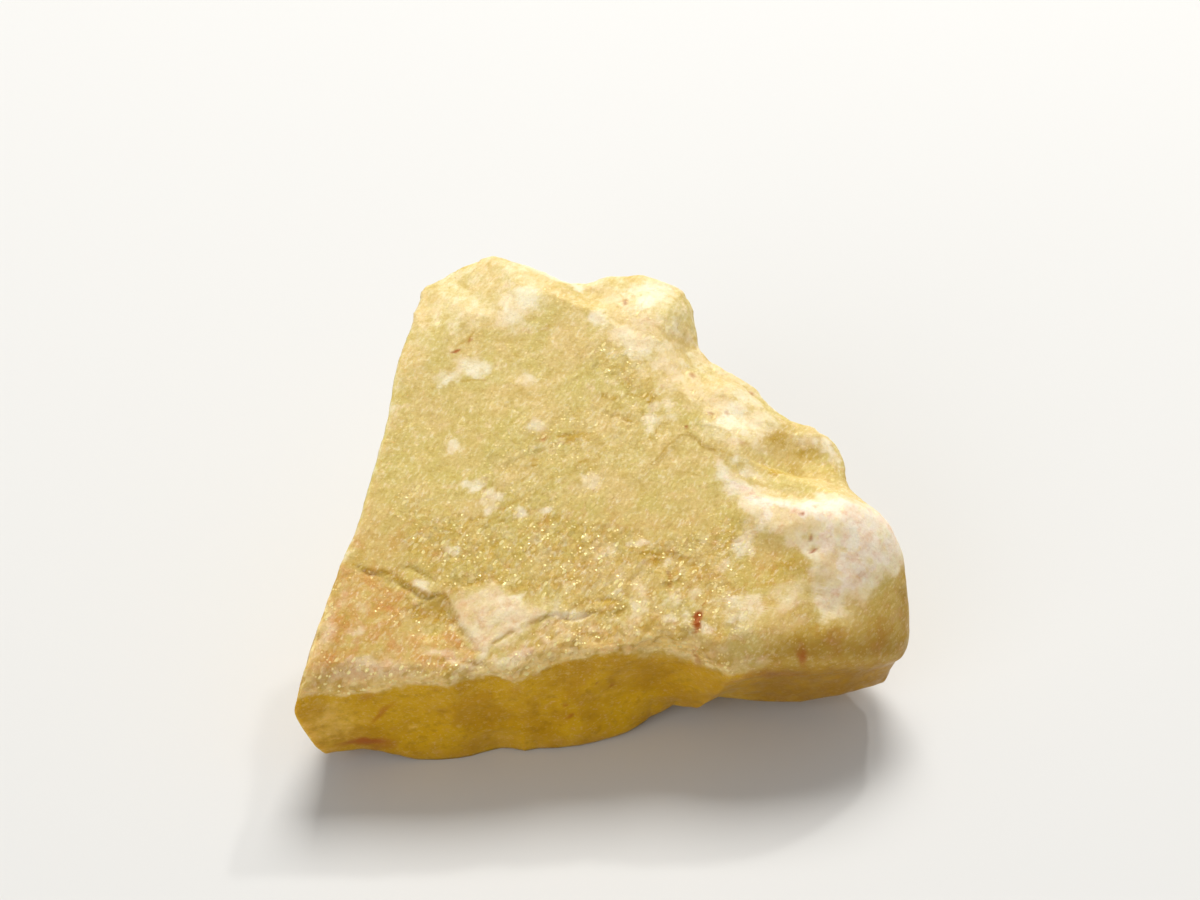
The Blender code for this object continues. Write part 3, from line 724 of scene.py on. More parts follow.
# %% Cracks and thin ledges
# Strength, width and line of each groove of the face. Where a point is on several, they add up.
GROOVES = {
    "scar_line": (0.60, 0.14, [
        (-12.0, -6.0), (-11.5, -6.3), (-10.8, -6.4), (-10.2, -6.5), (-9.8, -6.9), (-9.1, -7.3),
        (-8.7, -7.4), (-8.1, -7.3), (-7.7, -7.6), (-7.4, -8.0), (-7.2, -8.4),
    ]),
    "chip_line": (0.50, 0.13, [(-9.9, -6.1), (-9.3, -6.2), (-8.9, -6.4), (-8.5, -6.6)]),
    "scoop_rim": (0.35, 0.13, [(-9.5, -8.1), (-9.2, -7.8), (-8.7, -7.5), (-8.1, -7.3)]),
    "scar_crack": (0.40, 0.12, [(-7.3, -8.8), (-6.7, -9.2)]),
    "scar_crack_low": (0.35, 0.12, [(-7.1, -9.6), (-6.0, -10.0)]),
    "rim_ledge": (0.45, 0.14, [(-8.1, -10.2), (-7.1, -10.3), (-6.1, -10.5)]),
    "flake_top": (0.35, 0.13, [(-7.2, -6.9), (-6.7, -6.9), (-5.9, -6.6)]),
    "slant_left": (0.07, 0.12, [(-5.6, -6.4), (-5.1, -5.5)]),
    "slant_right": (0.07, 0.12, [(-3.6, -7.3), (-2.8, -6.4)]),
    "lip_left": (0.40, 0.14, [(-5.7, -9.6), (-4.9, -9.1), (-4.5, -9.0)]),
    "lip": (0.60, 0.15, [(-3.5, -8.6), (-3.0, -8.3), (-2.4, -8.3), (-1.7, -8.4), (-0.7, -8.1)]),
    "lip_upper": (0.45, 0.15, [(-0.8, -7.7), (0.0, -7.6), (0.6, -7.7)]),
    "lip_lower": (0.10, 0.14, [(-1.7, -9.0), (-0.5, -9.1)]),
    "upper_left": (0.07, 0.10, [(-7.4, 2.7), (-6.0, 2.7)]),
    "middle_left": (0.14, 0.15, [(-2.7, 0.0), (-1.7, 0.1), (-0.8, 0.1)]),
    "middle_low": (0.12, 0.14, [(-4.3, -1.6), (-3.4, -1.4)]),
    "middle_slant": (0.09, 0.12, [(-5.4, -2.2), (-5.6, -2.8)]),
    "middle_right": (0.09, 0.14, [(-1.3, -2.0), (-1.0, -1.4)]),
    "upper_right": (0.14, 0.15, [(0.9, 2.0), (1.6, 1.9), (2.3, 1.7)]),
    "upper_right_low": (0.08, 0.12, [(-0.1, 1.0), (1.1, 0.7)]),
    "diagonal": (0.10, 0.13, [(-6.3, -4.2), (-5.8, -3.9), (-5.4, -3.7), (-4.8, -3.2), (-4.2, -2.9)]),
    "chevron_left": (0.06, 0.15, [(3.6, 0.1), (3.0, -0.3), (2.4, -1.0), (1.9, -1.4)]),
    "chevron_right": (0.12, 0.16, [
        (3.6, 0.2), (4.2, -0.2), (4.6, -0.6), (5.1, -0.7), (5.9, -1.0), (6.4, -0.9), (7.1, -0.5),
    ]),
    "strip_wall": (0.15, 0.16, [(2.6, -6.4), (2.8, -6.8), (2.5, -7.2)]),
    "strip_top": (0.18, 0.22, [(0.9, -5.4), (1.8, -5.5), (2.9, -5.5), (3.8, -6.0), (4.8, -6.0)]),
    "front_crack": (0.60, 0.18, [(4.1, -9.7), (4.4, -9.9), (4.8, -10.1), (5.3, -10.4), (5.8, -10.6)]),
    "knuckle_line": (0.08, 0.12, [(11.5, -1.1), (12.3, -1.3)]),
    "facet_hang": (0.08, 0.15, [(-7.7, 4.3), (-7.3, 4.5), (-6.6, 5.1)]),
}
GROOVE_DEPTH = 0.14  # how deep a groove of strength 1 is, in millimetres
WOBBLE = 0.10  # how far noise bends a groove, in millimetres

groove_x = base[:, 0] + WOBBLE * waves(base, 0.5, 61)
groove_y = base[:, 1] + WOBBLE * waves(base, 0.5, 62)
groove_reach = {
    name: stroke(groove_x, groove_y, width, line) * on_face for name, (_, width, line) in GROOVES.items()
}
grooves = sum(GROOVES[name][0] * reach for name, reach in groove_reach.items())
print("grooves:", len(GROOVES), "| deepest %.2f mm" % (GROOVE_DEPTH * grooves.max()))

# %% [markdown]
# ## A recipe for each region
# The push is a sum, and each term is one kind of noise times the share of its region. The numbers are
# heights in millimetres, so they can be checked against the real thing: the steps of the rough middle
# are under 0.1 mm high, and the chips along the rim take away up to 0.2 mm. The walls that were torn from
# the rock are rough all over, while the front break is almost as smooth as candle wax.

# %% Relief of the face
GRAIN = 24  # bearing of the crystal's grain on the face, in degrees
SLANT = 30  # bearing of the steps near the front
along_grain = stretched(base, GRAIN, 1.8)
slanting = stretched(base, SLANT, 1.5)
face_relief = on_face * (
    0.007 * rough_waves(base, 0.45, 71, 2)
    + 0.008 * terraces(along_grain, 2.2, 4, 73)
    + 0.018 * facets(along_grain, 1.1, 74)
)
recipes = {
    "stepped_middle":
        0.010 * terraces(along_grain, 1.1, 4, 75) + 0.035 * facets(slanting, 0.8, 76)
        + 0.025 * facets(base, 0.4, 70),
    "front_strip":
        0.008 * terraces(slanting, 1.2, 4, 77) + 0.045 * facets(slanting, 0.9, 78)
        + 0.03 * facets(base, 0.4, 70),
    "glitter_belt":
        0.012 * waves(stretched(base, 60, 3.5), 0.4, 79) + 0.035 * facets(stretched(base, 55, 1.8), 0.4, 80),
    "milky_band":
        0.05 * rough_waves(base, 1.7, 81, 2) + 0.05 * facets(stretched(base, -45, 1.8), 0.6, 82)
        - 0.03 * pits(base, 0.6, 0.15, 83),
    "milky_lobe":
        0.08 * rough_waves(base, 2.0, 84, 3) + 0.06 * facets(base, 0.7, 69)
        - 0.05 * pits(base, 0.6, 0.2, 85),
    "streaked_slope":
        0.030 * waves(stretched(base, 38, 4.0), 0.7, 86),
    "scar":
        0.04 * waves(base, 1.5, 87) + 0.035 * facets(base, 0.5, 88),
    "crumbly_rim":
        0.015 * terraces(stretched(base, 10, 1.6), 0.8, 3, 98) + 0.10 * facets(base, 0.45, 99),
    "white_flake":
        0.05 + 0.07 * rough_waves(base, 1.3, 89, 3) + 0.06 * terraces(slanting, 0.9, 3, 90),
}
for name, recipe in recipes.items():
    face_relief += region[name] * recipe
print("face relief, mm: %.2f to %.2f" % (face_relief.min(), face_relief.max()))

# %% Chips along the rim
RIM_BAND = 0.9  # how far the chips reach from the rim, in millimetres
CHIP_DEPTH, CHIP_SLANT, LEFT_CHIPS = 0.14, 0.10, 0.05  # bowls, planes in them, and bowls of the left edge
rim = smooth(1 - rim_gap / RIM_BAND) * (out > 0.5)
# The sharp left edge, from 10 mm in front of the origin to 6 mm behind it, has lost only small chips.
left_edge = smooth((-8.5 - base[:, 0]) / 2) * smooth((6 - base[:, 1]) / 2) * smooth((base[:, 1] + 10) / 2)
chips = rim * (
    (1 - left_edge) * (1 - 0.7 * on_lobe) * (1 - 0.7 * region["milky_band"])
    * (CHIP_DEPTH * (1 - scoops(base, 1.1, 88)) - CHIP_SLANT * facets(base, 0.6, 89))
    + left_edge * LEFT_CHIPS * (1 - scoops(base, 0.8, 90))
)
print("chips at most %.2f mm deep" % chips.max())

# %% Relief of the breaks
LOBE_FULLNESS = 0.35  # what the rounding of the lobe took away and the relief gives back, in millimetres
WAXY, SHATTERED = 0.42, 0.35  # a wall is waxy up to this roughness, and shattered so much above it
roughness = wall_at(base[:, 0], base[:, 1])[3]
on_break = smooth(down / 0.06)
shattered = on_break * smooth((roughness - WAXY) / SHATTERED)
waxy = on_break - shattered
break_relief = waxy * (
    0.05 * waves(base, 2.6, 91) + 0.035 * rough_waves(base, 1.0, 92, 3) - 0.10 * pits(base, 1.7, 0.10, 93)
)
above_foot = 0.2 + 0.8 * smooth((base[:, 2] - 0.3) / 1.6)
break_relief -= shattered * above_foot * (
    0.42 * (1 - scoops(base, 3.2, 94)) + 0.08 * (1 - scoops(base, 1.2, 95))
    - 0.16 * facets(base, 1.3, 96) - 0.025 * rough_waves(base, 0.5, 97, 2)
)
relief = face_relief - GROOVE_DEPTH * grooves - chips + break_relief + LOBE_FULLNESS * wide_share
print("relief, mm: %.2f to %.2f" % (relief.min(), relief.max()))

# %% [markdown]
# ## From numbers to a mesh
# Blender works out a normal for every point of the bare skin, and each point is pushed along its own.
# Across an edge the normals turn at once, and a push along them would fold the skin, so they are
# blurred first. The stone is then stretched by a hair to fill the box of the solid exactly, because it
# has to be as large as the one that the physics knows, and to keep its flat pad on the floor.

# %% Crystal mesh
PUSH_BLUR = 12  # passes of the blur that steadies the directions of the push


def read_points(collection, name):
    """The vectors of a mesh collection as an array of rows."""
    values = np.empty(3 * len(base))
    collection.foreach_get(name, values)
    return values.reshape(-1, 3)


def crystal_mesh():
    """The skin pushed along its steadied normals by the relief, then fitted to the solid's box: each
    side's length is scaled by the share that it lacks."""
    mesh = bpy.data.meshes.new("danburite_crystal_finished")
    mesh.from_pydata((base - BOX_MIDDLE) * MM, [], [*quads.tolist(), *fan.tolist()])
    ways = blurred(read_points(mesh.vertex_normals, "vector"), PUSH_BLUR)
    ways /= np.linalg.norm(ways, axis=1)[:, None]
    places = (base - BOX_MIDDLE + relief[:, None] * ways) * MM
    low, high = places.min(axis=0), places.max(axis=0)
    fit = (np.array(solid_high) - solid_low) / (high - low)
    places = np.array(solid_low) + (places - low) * fit
    mesh.vertices.foreach_set("co", places.ravel())
    mesh.shade_smooth()
    mesh.update()
    print("stretched to the solid's box by", fit.round(4))
    return mesh


crystal = bpy.data.objects.new("danburite_crystal_finished", crystal_mesh())
bpy.context.scene.collection.objects.link(crystal)
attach(crystal, "root")
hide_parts(NODE)
print("finished stone, mm:", [round(side / MM, 2) for side in crystal.dimensions])

# %% [markdown]
# ## Hollows and crests
# On a worn stone, whatever stands up is scuffed white. Whatever lies low gets more honey and less milk,
# which is painted shade in the hollows.
# So the colours need to know which is which. When the mesh is blurred, crests sink and hollows fill: how
# far each point moves along its normal is a measure of both.

# %% Hollows and crests
BLURS = 10
HOLLOW_DEPTH = 0.028  # millimetres; a hollow this deep gets the full painted shade, and a crest this high is fully scuffed
places = read_points(crystal.data.vertices, "co") / MM
normals = read_points(crystal.data.vertex_normals, "vector")
sunk = ((blurred(places, BLURS) - places) * normals).sum(axis=1)
hollow = smooth(sunk / HOLLOW_DEPTH)
crest = smooth(-sunk / HOLLOW_DEPTH)
print("sunk, mm: %.3f to %.3f, half of them within %.3f" % (sunk.min(), sunk.max(), np.median(abs(sunk))))

# %% [markdown]
# ## Colour that follows the skin
# Six masks are stored on the points, each from 0 to 1, and the material mixes its colours by them: milk
# for bruised, cloudy places, honey for clear golden ones and, as painted shade, for hollows, grooves and
# the foot of the lobe, blush for a pinkish stain, rust for iron in pits and cracks, glitter for places that
# sparkle, and wax for the smooth break, whose amber is deepened as painted shade and glow, and which also
# paints light on the crust along the front rim. They come from the same regions as the relief, from ovals
# and lines, and from the hollows and crests.

# %% Ovals of colour
# Middle, half length, half width, bearing and strength of each spot of the face.
MILK_SPOTS = [
    ((-6.7, 3.3), 1.4, 0.7, -10, 0.75), ((-8.0, 2.6), 0.9, 0.5, 10, 0.6),
    ((-4.1, 3.0), 0.7, 0.7, 80, 0.7), ((-3.5, 0.5), 0.6, 0.4, -20, 1.0),
    ((-6.5, -2.2), 1.1, 0.45, 5, 0.75), ((-5.6, -3.2), 0.8, 0.6, 60, 0.75),
    ((-4.2, -3.6), 0.5, 0.35, 0, 0.9), ((-1.0, -2.1), 0.8, 0.45, 10, 0.9),
    ((-8.1, -0.4), 0.4, 0.3, 0, 0.8), ((-3.2, -3.4), 0.6, 0.3, 20, 0.7), ((6.5, -5.0), 1.2, 0.7, 60, 0.9),
    ((6.4, -8.0), 1.1, 0.7, 30, 1.0), ((1.9, -9.4), 1.0, 0.35, 5, 0.9), ((4.7, -9.2), 0.5, 0.35, 0, 1.0),
    ((1.2, -8.0), 0.6, 1.3, -10, 0.7), ((-8.9, -7.0), 0.7, 0.4, -30, 0.8),
    ((-11.8, -7.8), 0.6, 0.4, 0, 0.5), ((-12.1, -8.8), 0.7, 0.4, 0, 0.6),
    ((4.3, -7.3), 0.8, 0.5, 20, 0.7), ((3.0, -7.4), 0.7, 0.5, 60, 0.6), ((1.4, -5.0), 0.7, 0.4, 10, 0.8),
    ((2.9, -6.0), 0.5, 0.4, 0, 0.8), ((-0.3, -5.2), 0.9, 0.5, 30, 0.6), ((0.1, -6.4), 1.3, 1.1, 80, 0.45),
    ((1.5, -7.2), 0.5, 1.6, 0, 0.6), ((3.0, -8.2), 1.3, 0.9, 20, 0.5), ((-1.9, -9.85), 0.5, 0.2, 5, 1.0),
    ((-0.9, -9.7), 0.6, 0.2, 0, 0.9), ((-4.6, -10.2), 1.4, 0.6, 15, 1.0),
    ((-11.4, -10.8), 2.4, 0.6, 0, 0.9), ((-7.6, -10.0), 1.5, 0.4, -5, 0.7),
    ((8.8, -7.7), 2.0, 0.5, 28, 0.7), ((5.4, -6.1), 0.5, 0.4, 0, 0.8), ((-7.5, -5.3), 0.6, 0.3, 10, 0.6),
    ((-10.9, 2.6), 0.5, 2.0, -10, 0.7), ((-13.4, -8.7), 0.5, 2.2, -18, 0.7),
    ((-2.9, 8.7), 2.4, 0.7, -18, 0.9), ((-7.0, -8.3), 0.4, 0.6, 0, 1.0),
    ((-4.8, -7.8), 1.2, 0.5, 20, 1.0), ((-2.0, -8.15), 1.3, 0.25, 8, 1.0),
    ((1.2, 4.7), 1.7, 0.9, -38, 0.9), ((-0.7, 5.7), 0.7, 0.4, -30, 0.9),
    ((2.9, 3.3), 1.4, 0.7, -45, 0.85), ((6.2, 1.0), 2.3, 1.5, -40, 0.9), ((2.1, 7.5), 2.0, 1.1, 80, 0.95),
    ((4.4, 1.9), 1.0, 0.6, -30, 0.6), ((6.6, -1.2), 1.6, 0.6, -45, 0.6), ((1.8, 0.9), 1.4, 0.7, 40, 0.5),
    ((2.9, 1.3), 1.0, 0.6, -40, 0.55), ((0.2, 0.6), 0.8, 0.5, 60, 0.5), ((10.8, 0.7), 1.0, 0.7, -30, 0.6),
    ((9.6, 0.9), 1.1, 0.5, 20, 0.5), ((8.6, 3.2), 1.2, 0.4, -50, 0.5),
]
HONEY_SPOTS = [
    ((-1.7, 0.1), 1.2, 0.5, 5, 0.6), ((-3.8, -1.4), 0.8, 0.4, 20, 0.5), ((-1.2, -1.5), 0.9, 0.5, 10, 0.5),
    ((8.4, -1.0), 2.0, 0.9, 5, 0.75), ((6.9, -4.6), 1.2, 0.5, 10, 0.5), ((8.3, -6.4), 2.3, 1.2, 25, 0.65),
    ((2.0, -5.8), 1.2, 0.5, -10, 1.0), ((4.3, -6.1), 1.0, 0.5, 10, 0.8), ((-8.5, -8.0), 1.3, 0.8, 0, 0.9),
    ((0.0, -7.8), 0.9, 0.25, 0, 1.0), ((1.7, 1.9), 1.0, 0.4, -10, 0.6), ((8.2, 0.5), 1.2, 0.6, 10, 0.8),
    ((9.6, -0.2), 3.2, 2.2, 0, 0.6), ((-0.2, 1.8), 0.6, 0.4, 0, 0.6), ((1.2, 2.6), 1.8, 0.8, -30, 0.6),
    ((-6.5, -4.9), 3.6, 1.9, 0, 0.42), ((-13.1, -6.2), 1.0, 0.6, 60, 0.6),
    ((-2.9, -4.0), 1.2, 0.5, 5, 0.6), ((1.5, -8.8), 1.2, 0.45, 5, 0.7), ((-0.8, 4.4), 1.2, 0.6, -40, 0.4),
    ((9.0, -8.2), 1.3, 1.0, 70, 0.6), ((10.4, -8.8), 1.9, 1.1, 0, 0.6), ((0.4, 7.1), 1.1, 0.7, -20, 0.45),
    ((3.9, 4.4), 1.3, 0.7, -50, 0.35), ((-3.0, 5.3), 1.6, 0.7, 0, 0.35),
]
BLUSH_SPOTS = [
    ((-10.8, -7.4), 2.4, 1.4, 20, 0.45), ((-12.2, -8.6), 1.8, 1.4, 70, 0.5),
    ((-10.4, -9.2), 2.0, 1.2, 0, 0.40), ((-12.4, -10.4), 1.9, 0.8, 0, 0.35),
    ((-3.2, 0.0), 0.8, 0.7, 0, 0.5), ((0.1, 1.2), 0.7, 0.5, 0, 0.45), ((3.8, -7.2), 1.3, 0.8, 20, 0.4),
    ((-6.8, -6.1), 1.6, 0.9, 20, 0.4), ((-6.0, -9.4), 0.8, 0.6, 30, 0.5),
    ((1.5, -7.0), 1.1, 0.7, 30, 0.35), ((12.3, -6.6), 1.3, 1.0, 40, 0.4),
    ((2.2, 5.5), 0.8, 0.4, -20, 0.5), ((-4.0, -5.6), 1.6, 0.8, 20, 0.3), ((9.5, -1.5), 1.8, 0.6, 0, 0.35),
]
GLITTER_SPOTS = [
    ((0.5, -8.1), 0.8, 0.5, 0, 1.0), ((1.9, -5.2), 0.9, 0.5, 0, 1.0), ((3.1, -5.6), 0.6, 0.4, 0, 1.0),
    ((3.1, -6.6), 0.7, 0.8, 0, 1.0), ((-12.4, -10.9), 2.0, 0.7, 0, 1.0),
    ((-9.5, -10.8), 2.8, 0.5, 0, 0.9), ((-4.3, -10.4), 1.2, 0.7, 20, 1.0),
    ((-8.0, -4.6), 2.6, 1.5, 10, 1.0), ((-3.4, -0.5), 1.8, 0.7, 10, 0.9),
    ((-7.5, -10.4), 1.8, 0.5, 0, 1.0), ((4.4, -8.6), 0.8, 1.0, 0, 0.9), ((-9.8, -3.0), 1.6, 1.0, 30, 0.8),
    ((0.2, 3.4), 2.4, 1.4, -30, 0.8), ((-3.2, -5.6), 1.8, 1.0, 20, 1.0), ((-6.2, -5.4), 1.5, 0.9, 0, 1.0),
]
RUST_SPOTS = [
    ((4.2, -8.8), 0.75, 0.34, 75, 1.0), ((9.0, -9.4), 0.45, 0.25, 110, 0.8),
    ((8.8, -4.5), 0.18, 0.13, 0, 0.9), ((9.3, -5.2), 0.17, 0.13, 0, 0.9),
    ((9.6, -5.6), 0.20, 0.13, 30, 0.9), ((-7.7, 4.3), 0.3, 0.12, 20, 0.7),
    ((-7.0, 4.8), 0.25, 0.12, 30, 0.5), ((0.6, 6.9), 0.3, 0.25, 20, 0.7),
    ((-3.2, -0.2), 0.2, 0.25, 0, 0.6), ((5.0, 1.3), 0.25, 0.15, 20, 0.6),
    ((2.8, -6.7), 0.4, 0.13, 75, 0.6), ((3.6, 0.3), 0.16, 0.12, 0, 0.8),
    ((-0.7, 4.2), 0.12, 0.10, 0, 0.7), ((4.6, -8.0), 0.15, 0.12, 0, 0.8),
    ((4.9, -5.0), 0.3, 0.12, 60, 0.5), ((6.8, -0.4), 0.4, 0.12, 10, 0.4),
    ((2.0, 1.9), 0.5, 0.12, -10, 0.4), ((12.6, -5.4), 0.4, 0.15, 70, 0.3),
]
print("spots of colour:", sum(map(len, [MILK_SPOTS, HONEY_SPOTS, BLUSH_SPOTS, GLITTER_SPOTS, RUST_SPOTS])))

# %% [markdown]
# ## Borders that fray
# A painter would dab these colours on with a broken brush. Here, an oval is a soft share, and noise is
# added to it before an S curve makes it firm again. Where the share is full, nothing much changes, but
# along the border the noise decides, so the border frays into fibres that run with the crystal's grain.

# %% Frayed spots
def veined(share, texture, contrast):
    """A share broken up by a texture round 0.5, so that a soft border frays and the middle gets gaps."""
    texture = contrast * (texture - 0.5) * smooth(3 * share)
    return smooth((1.15 * share + texture - 0.10) / 1.05)


def strongest(shares):
    """The largest of several shares at each point."""
    return np.max(shares, axis=0)


fibres = 0.5 + 0.5 * rough_waves(stretched(base, 40, 1.8), 0.36, 109, 4)


def spots(table, contrast=1.4):
    """The strongest of a table's ovals at each point of the face, frayed by noise as fine as its fibres."""
    shares = [strength * oval(plan_x, plan_y, *place) for *place, strength in table]
    return veined(strongest(shares), fibres, contrast) * on_face


print("fibres: %.2f to %.2f" % (fibres.min(), fibres.max()))

# %% Spots of the front break
# Here an oval lies in x and z, as seen from the front.
PALE_FRONT_SPOTS = [
    ((-13.4, 3.4), 2.2, 1.6, 80, 0.40), ((-9.3, 2.8), 0.7, 0.25, 30, 0.40),
    ((-0.5, 3.5), 1.3, 0.3, -12, 0.22), ((-5.0, 0.8), 4.0, 0.7, 0, 0.12),
]
DARK_FRONT_SPOTS = [
    ((-10.8, 3.9), 1.2, 0.22, 46, 0.55), ((-12.0, 1.7), 1.3, 0.35, 0, 0.85),
    ((-11.2, 1.2), 1.0, 0.5, 40, 0.35), ((-0.8, 4.7), 0.16, 0.13, 0, 0.7),
    ((0.0, 4.3), 0.16, 0.13, 0, 0.7), ((-2.2, 3.4), 0.2, 0.15, 20, 0.6),
    ((-2.0, 2.5), 0.22, 0.12, 30, 0.7), ((7.8, 5.3), 1.9, 0.7, -15, 0.30),
    ((6.2, 5.6), 1.2, 0.35, 60, 0.3), ((10.5, 7.0), 0.45, 0.3, 20, 0.25),
    ((12.9, 6.2), 0.6, 0.4, 60, 0.2), ((-11.5, 5.4), 0.5, 0.25, 0, 0.2),
]


def front_spots(table):
    """The strongest of a table's ovals at each point of the front break."""
    place = base[:, 0] + spread, base[:, 2] + spread_y
    return strongest([strength * oval(*place, *spot) for *spot, strength in table]) * (base[:, 1] < -6)


print("spots of the front break:", len(PALE_FRONT_SPOTS) + len(DARK_FRONT_SPOTS))

# %% [markdown]
# ## One recipe for each mask
# Every mask is a list of shares, one for each place or cause, and at each point the strongest one counts.
# Clouds of three sizes and a few soft bands come first, because several of the lists use them.

# %% Clouds and bands
cloud = 0.5 + 0.5 * rough_waves(base, 1.2, 101, 4)
fine_cloud = 0.5 + 0.5 * rough_waves(base, 0.4, 103, 3)
broad_cloud = 0.5 + 0.5 * rough_waves(base, 3.0, 104, 4)
streaks = waves(stretched(base, 38, 4.0), 0.6, 86)
band_fibres = 0.5 + 0.5 * rough_waves(stretched(base, -50, 2.6), 0.6, 107, 3)
rough_face = strongest([0.35 * on_face, region["stepped_middle"], region["front_strip"], region["scar"]])
groove_share = strongest(list(groove_reach.values()))
below_rim = smooth(1 - rim_gap / 1.6)  # a soft band of 1.6 mm along the rim
at_front = smooth((-5.5 - base[:, 1]) / 2)  # from 5.5 mm in front of the origin onwards
lower_half = smooth((-1.0 - base[:, 1]) / 4.5)  # grows from the middle of the face to its front
# The frosted crust that hangs over the front break, which the milk and the wax paint paler and more
# golden as painted light, as if its rounded rim caught the light; and the clear scoop in the scar.
crust_and_painted_light = np.maximum(waxy, 0.8 * rim) * on_face * at_front * (1 - on_lobe)
scoop = smooth(2 * oval(plan_x, plan_y, (-8.5, -8.2), 1.6, 1.1, 0)) * on_face
print("crust along the front rim: %.1f %% of the points" % (100 * crust_and_painted_light.mean()))

# %% Milk
milk_of_band = 0.6 * band_fibres + 0.4 * cloud - 0.15 * hollow
milk_of_lobe = 0.22 + 0.4 * fine_cloud + 0.4 * cloud - 0.15 * hollow
mottles = smooth(2.2 * (0.65 * broad_cloud + 0.35 * fine_cloud) - 0.75)
milk = strongest([
    0.75 * veined(region["milky_band"] * (0.62 - 0.25 * region["clear_facet"]), milk_of_band, 1.2),
    veined(region["milky_lobe"], milk_of_lobe, 1.8),
    0.85 * veined(region["apex_smear"], 0.5 * band_fibres + 0.5 * fine_cloud, 1.5),
    region["white_flake"] * (0.20 + 0.6 * fine_cloud + 0.5 * fibres - 0.4 * hollow),
    region["crumbly_rim"] * np.clip(1.7 * fine_cloud - 0.60 + 0.25 * crest - 0.3 * hollow, 0, 0.75),
    region["corner_facet"] * (0.15 + 0.45 * cloud),
    region["streaked_slope"] * 0.5 * smooth(streaks * 1.6),
    0.22 * on_face * smooth(base[:, 1] / 4) * cloud,
    0.85 * spots(MILK_SPOTS),
    crest * rough_face * 0.30,
    rim * on_face * (1 - on_lobe) * (0.6 - 0.15 * at_front) * smooth(1.9 * fine_cloud - 0.50),
    # Paler milk on the crust along the front rim: painted light.
    0.9 * crust_and_painted_light * smooth(1.8 * fine_cloud - 0.15),
    front_spots(PALE_FRONT_SPOTS),
    shattered * np.clip(0.7 * mottles + 0.12 * crest, 0, 1),
])
print("milk covers %.1f %% of the points by more than half" % (100 * (milk > 0.5).mean()))

# %% Honey, and painted shade in hollows and creases
# Thin bands along the feet of the two largest ledges: painted shade below their drop.
ledge_lines = [stroke(groove_x, groove_y, 0.22, LEDGES[name][2]) for name in ("front_scar", "flake_lip")]
honey_and_shade = strongest([
    region["crumbly_rim"] * 0.5 * smooth(1.6 - 2.0 * fine_cloud),
    # The foot of the lobe, darker towards the front: painted shade.
    region["lobe_foot"] * (0.45 + 0.5 * smooth((-6.5 - base[:, 1]) / 1.5)),
    region["scar"] * 0.75 * cloud,
    region["streaked_slope"] * 0.5 * smooth(0.3 - streaks),
    0.85 * spots(HONEY_SPOTS),
    # Grooves, ledge feet and hollows get the darker honey colour: painted shade in creases and recesses.
    0.7 * groove_share,
    strongest(ledge_lines) * on_face,
    hollow * on_face * (0.20 + 0.40 * rough_face),
    0.40 * lower_half * on_face * (0.5 + cloud),
    # On the shattered walls: painted shade in the hollows, and broad clouds of honey colour.
    shattered * (0.25 * hollow + 0.55 * smooth(1.5 - 2.2 * broad_cloud)),
    on_lobe * below_rim * 0.8,
    # The waxy walls of the lobe: honey turns their amber to AMBER_SHADE, painted shade.
    on_lobe * waxy * (0.5 + 0.4 * cloud),
    rim * at_front * on_face * (0.3 + 0.5 * cloud) * smooth((base[:, 0] + 9) / 3),
])
honey_and_shade = honey_and_shade * (1 - 0.5 * region["white_flake"])
print("honey covers %.1f %% of the points by more than half" % (100 * (honey_and_shade > 0.5).mean()))

# %% Blush and rust
blush = strongest([
    0.7 * spots(BLUSH_SPOTS, 0.8) * (1 - 0.7 * crust_and_painted_light) * (0.5 + 0.6 * cloud),
    region["scar"] * (0.22 + 0.50 * cloud) * (1 - 0.6 * scoop) * (1 - 0.7 * crust_and_painted_light),
    region["white_flake"] * 0.55 * cloud,
    region["crumbly_rim"] * (1 - crust_and_painted_light) * 0.55 * cloud,
    region["milky_lobe"] * (0.12 + 0.40 * cloud) * smooth((-4.6 - base[:, 1]) / 1.5),
    region["milky_lobe"] * (0.10 + 0.32 * smooth(2.2 * fine_cloud - 0.8)),
    0.30 * lower_half * on_face * cloud,
])
rust = strongest([
    spots(RUST_SPOTS, 1.0),
    groove_reach["front_crack"] * 0.9,
    front_spots(DARK_FRONT_SPOTS),
    shattered * 0.5 * pits(base, 2.2, 0.15, 105),
    region["milky_band"] * 0.5 * pits(base, 0.6, 0.10, 106),
])
print("rust covers %.2f %% of the points by more than half" % (100 * (rust > 0.5).mean()))

# %% Glitter, and wax with painted shade and light
glitter = strongest([
    0.30 * on_face,
    region["glitter_belt"],
    0.75 * region["front_strip"],
    0.55 * region["stepped_middle"],
    0.9 * region["crumbly_rim"],
    0.8 * region["scar"] * smooth(1.8 * cloud - 0.4),
    crust_and_painted_light,
    spots(GLITTER_SPOTS),
    rim * at_front * on_face * (1 - on_lobe),
    0.25 * waxy * smooth(1 - rim_gap / 3),
])
# Wax turns the colour to amber. On the waxy break that is partly its own colour, partly painted shade and
# the painted glow of light through the stone; on the foot of the lobe it is painted shade, and on the crust
# along the front rim painted light.
wax_with_painted_light = strongest([waxy * (1 - on_face), 0.65 * region["lobe_foot"], 0.75 * crust_and_painted_light])
wax_with_painted_light += 0.35 * shattered * smooth(1.6 - 2.4 * broad_cloud)
masks = {"milk": milk, "honey_and_shade": honey_and_shade, "blush": blush, "rust": rust, "glitter": glitter, "wax_with_painted_light": wax_with_painted_light}
for name, share in masks.items():
    crystal.data.attributes.new(name, "FLOAT", "POINT").data.foreach_set("value", np.clip(share, 0, 1))
    print("%-8s mean %.2f" % (name, np.clip(share, 0, 1).mean()))

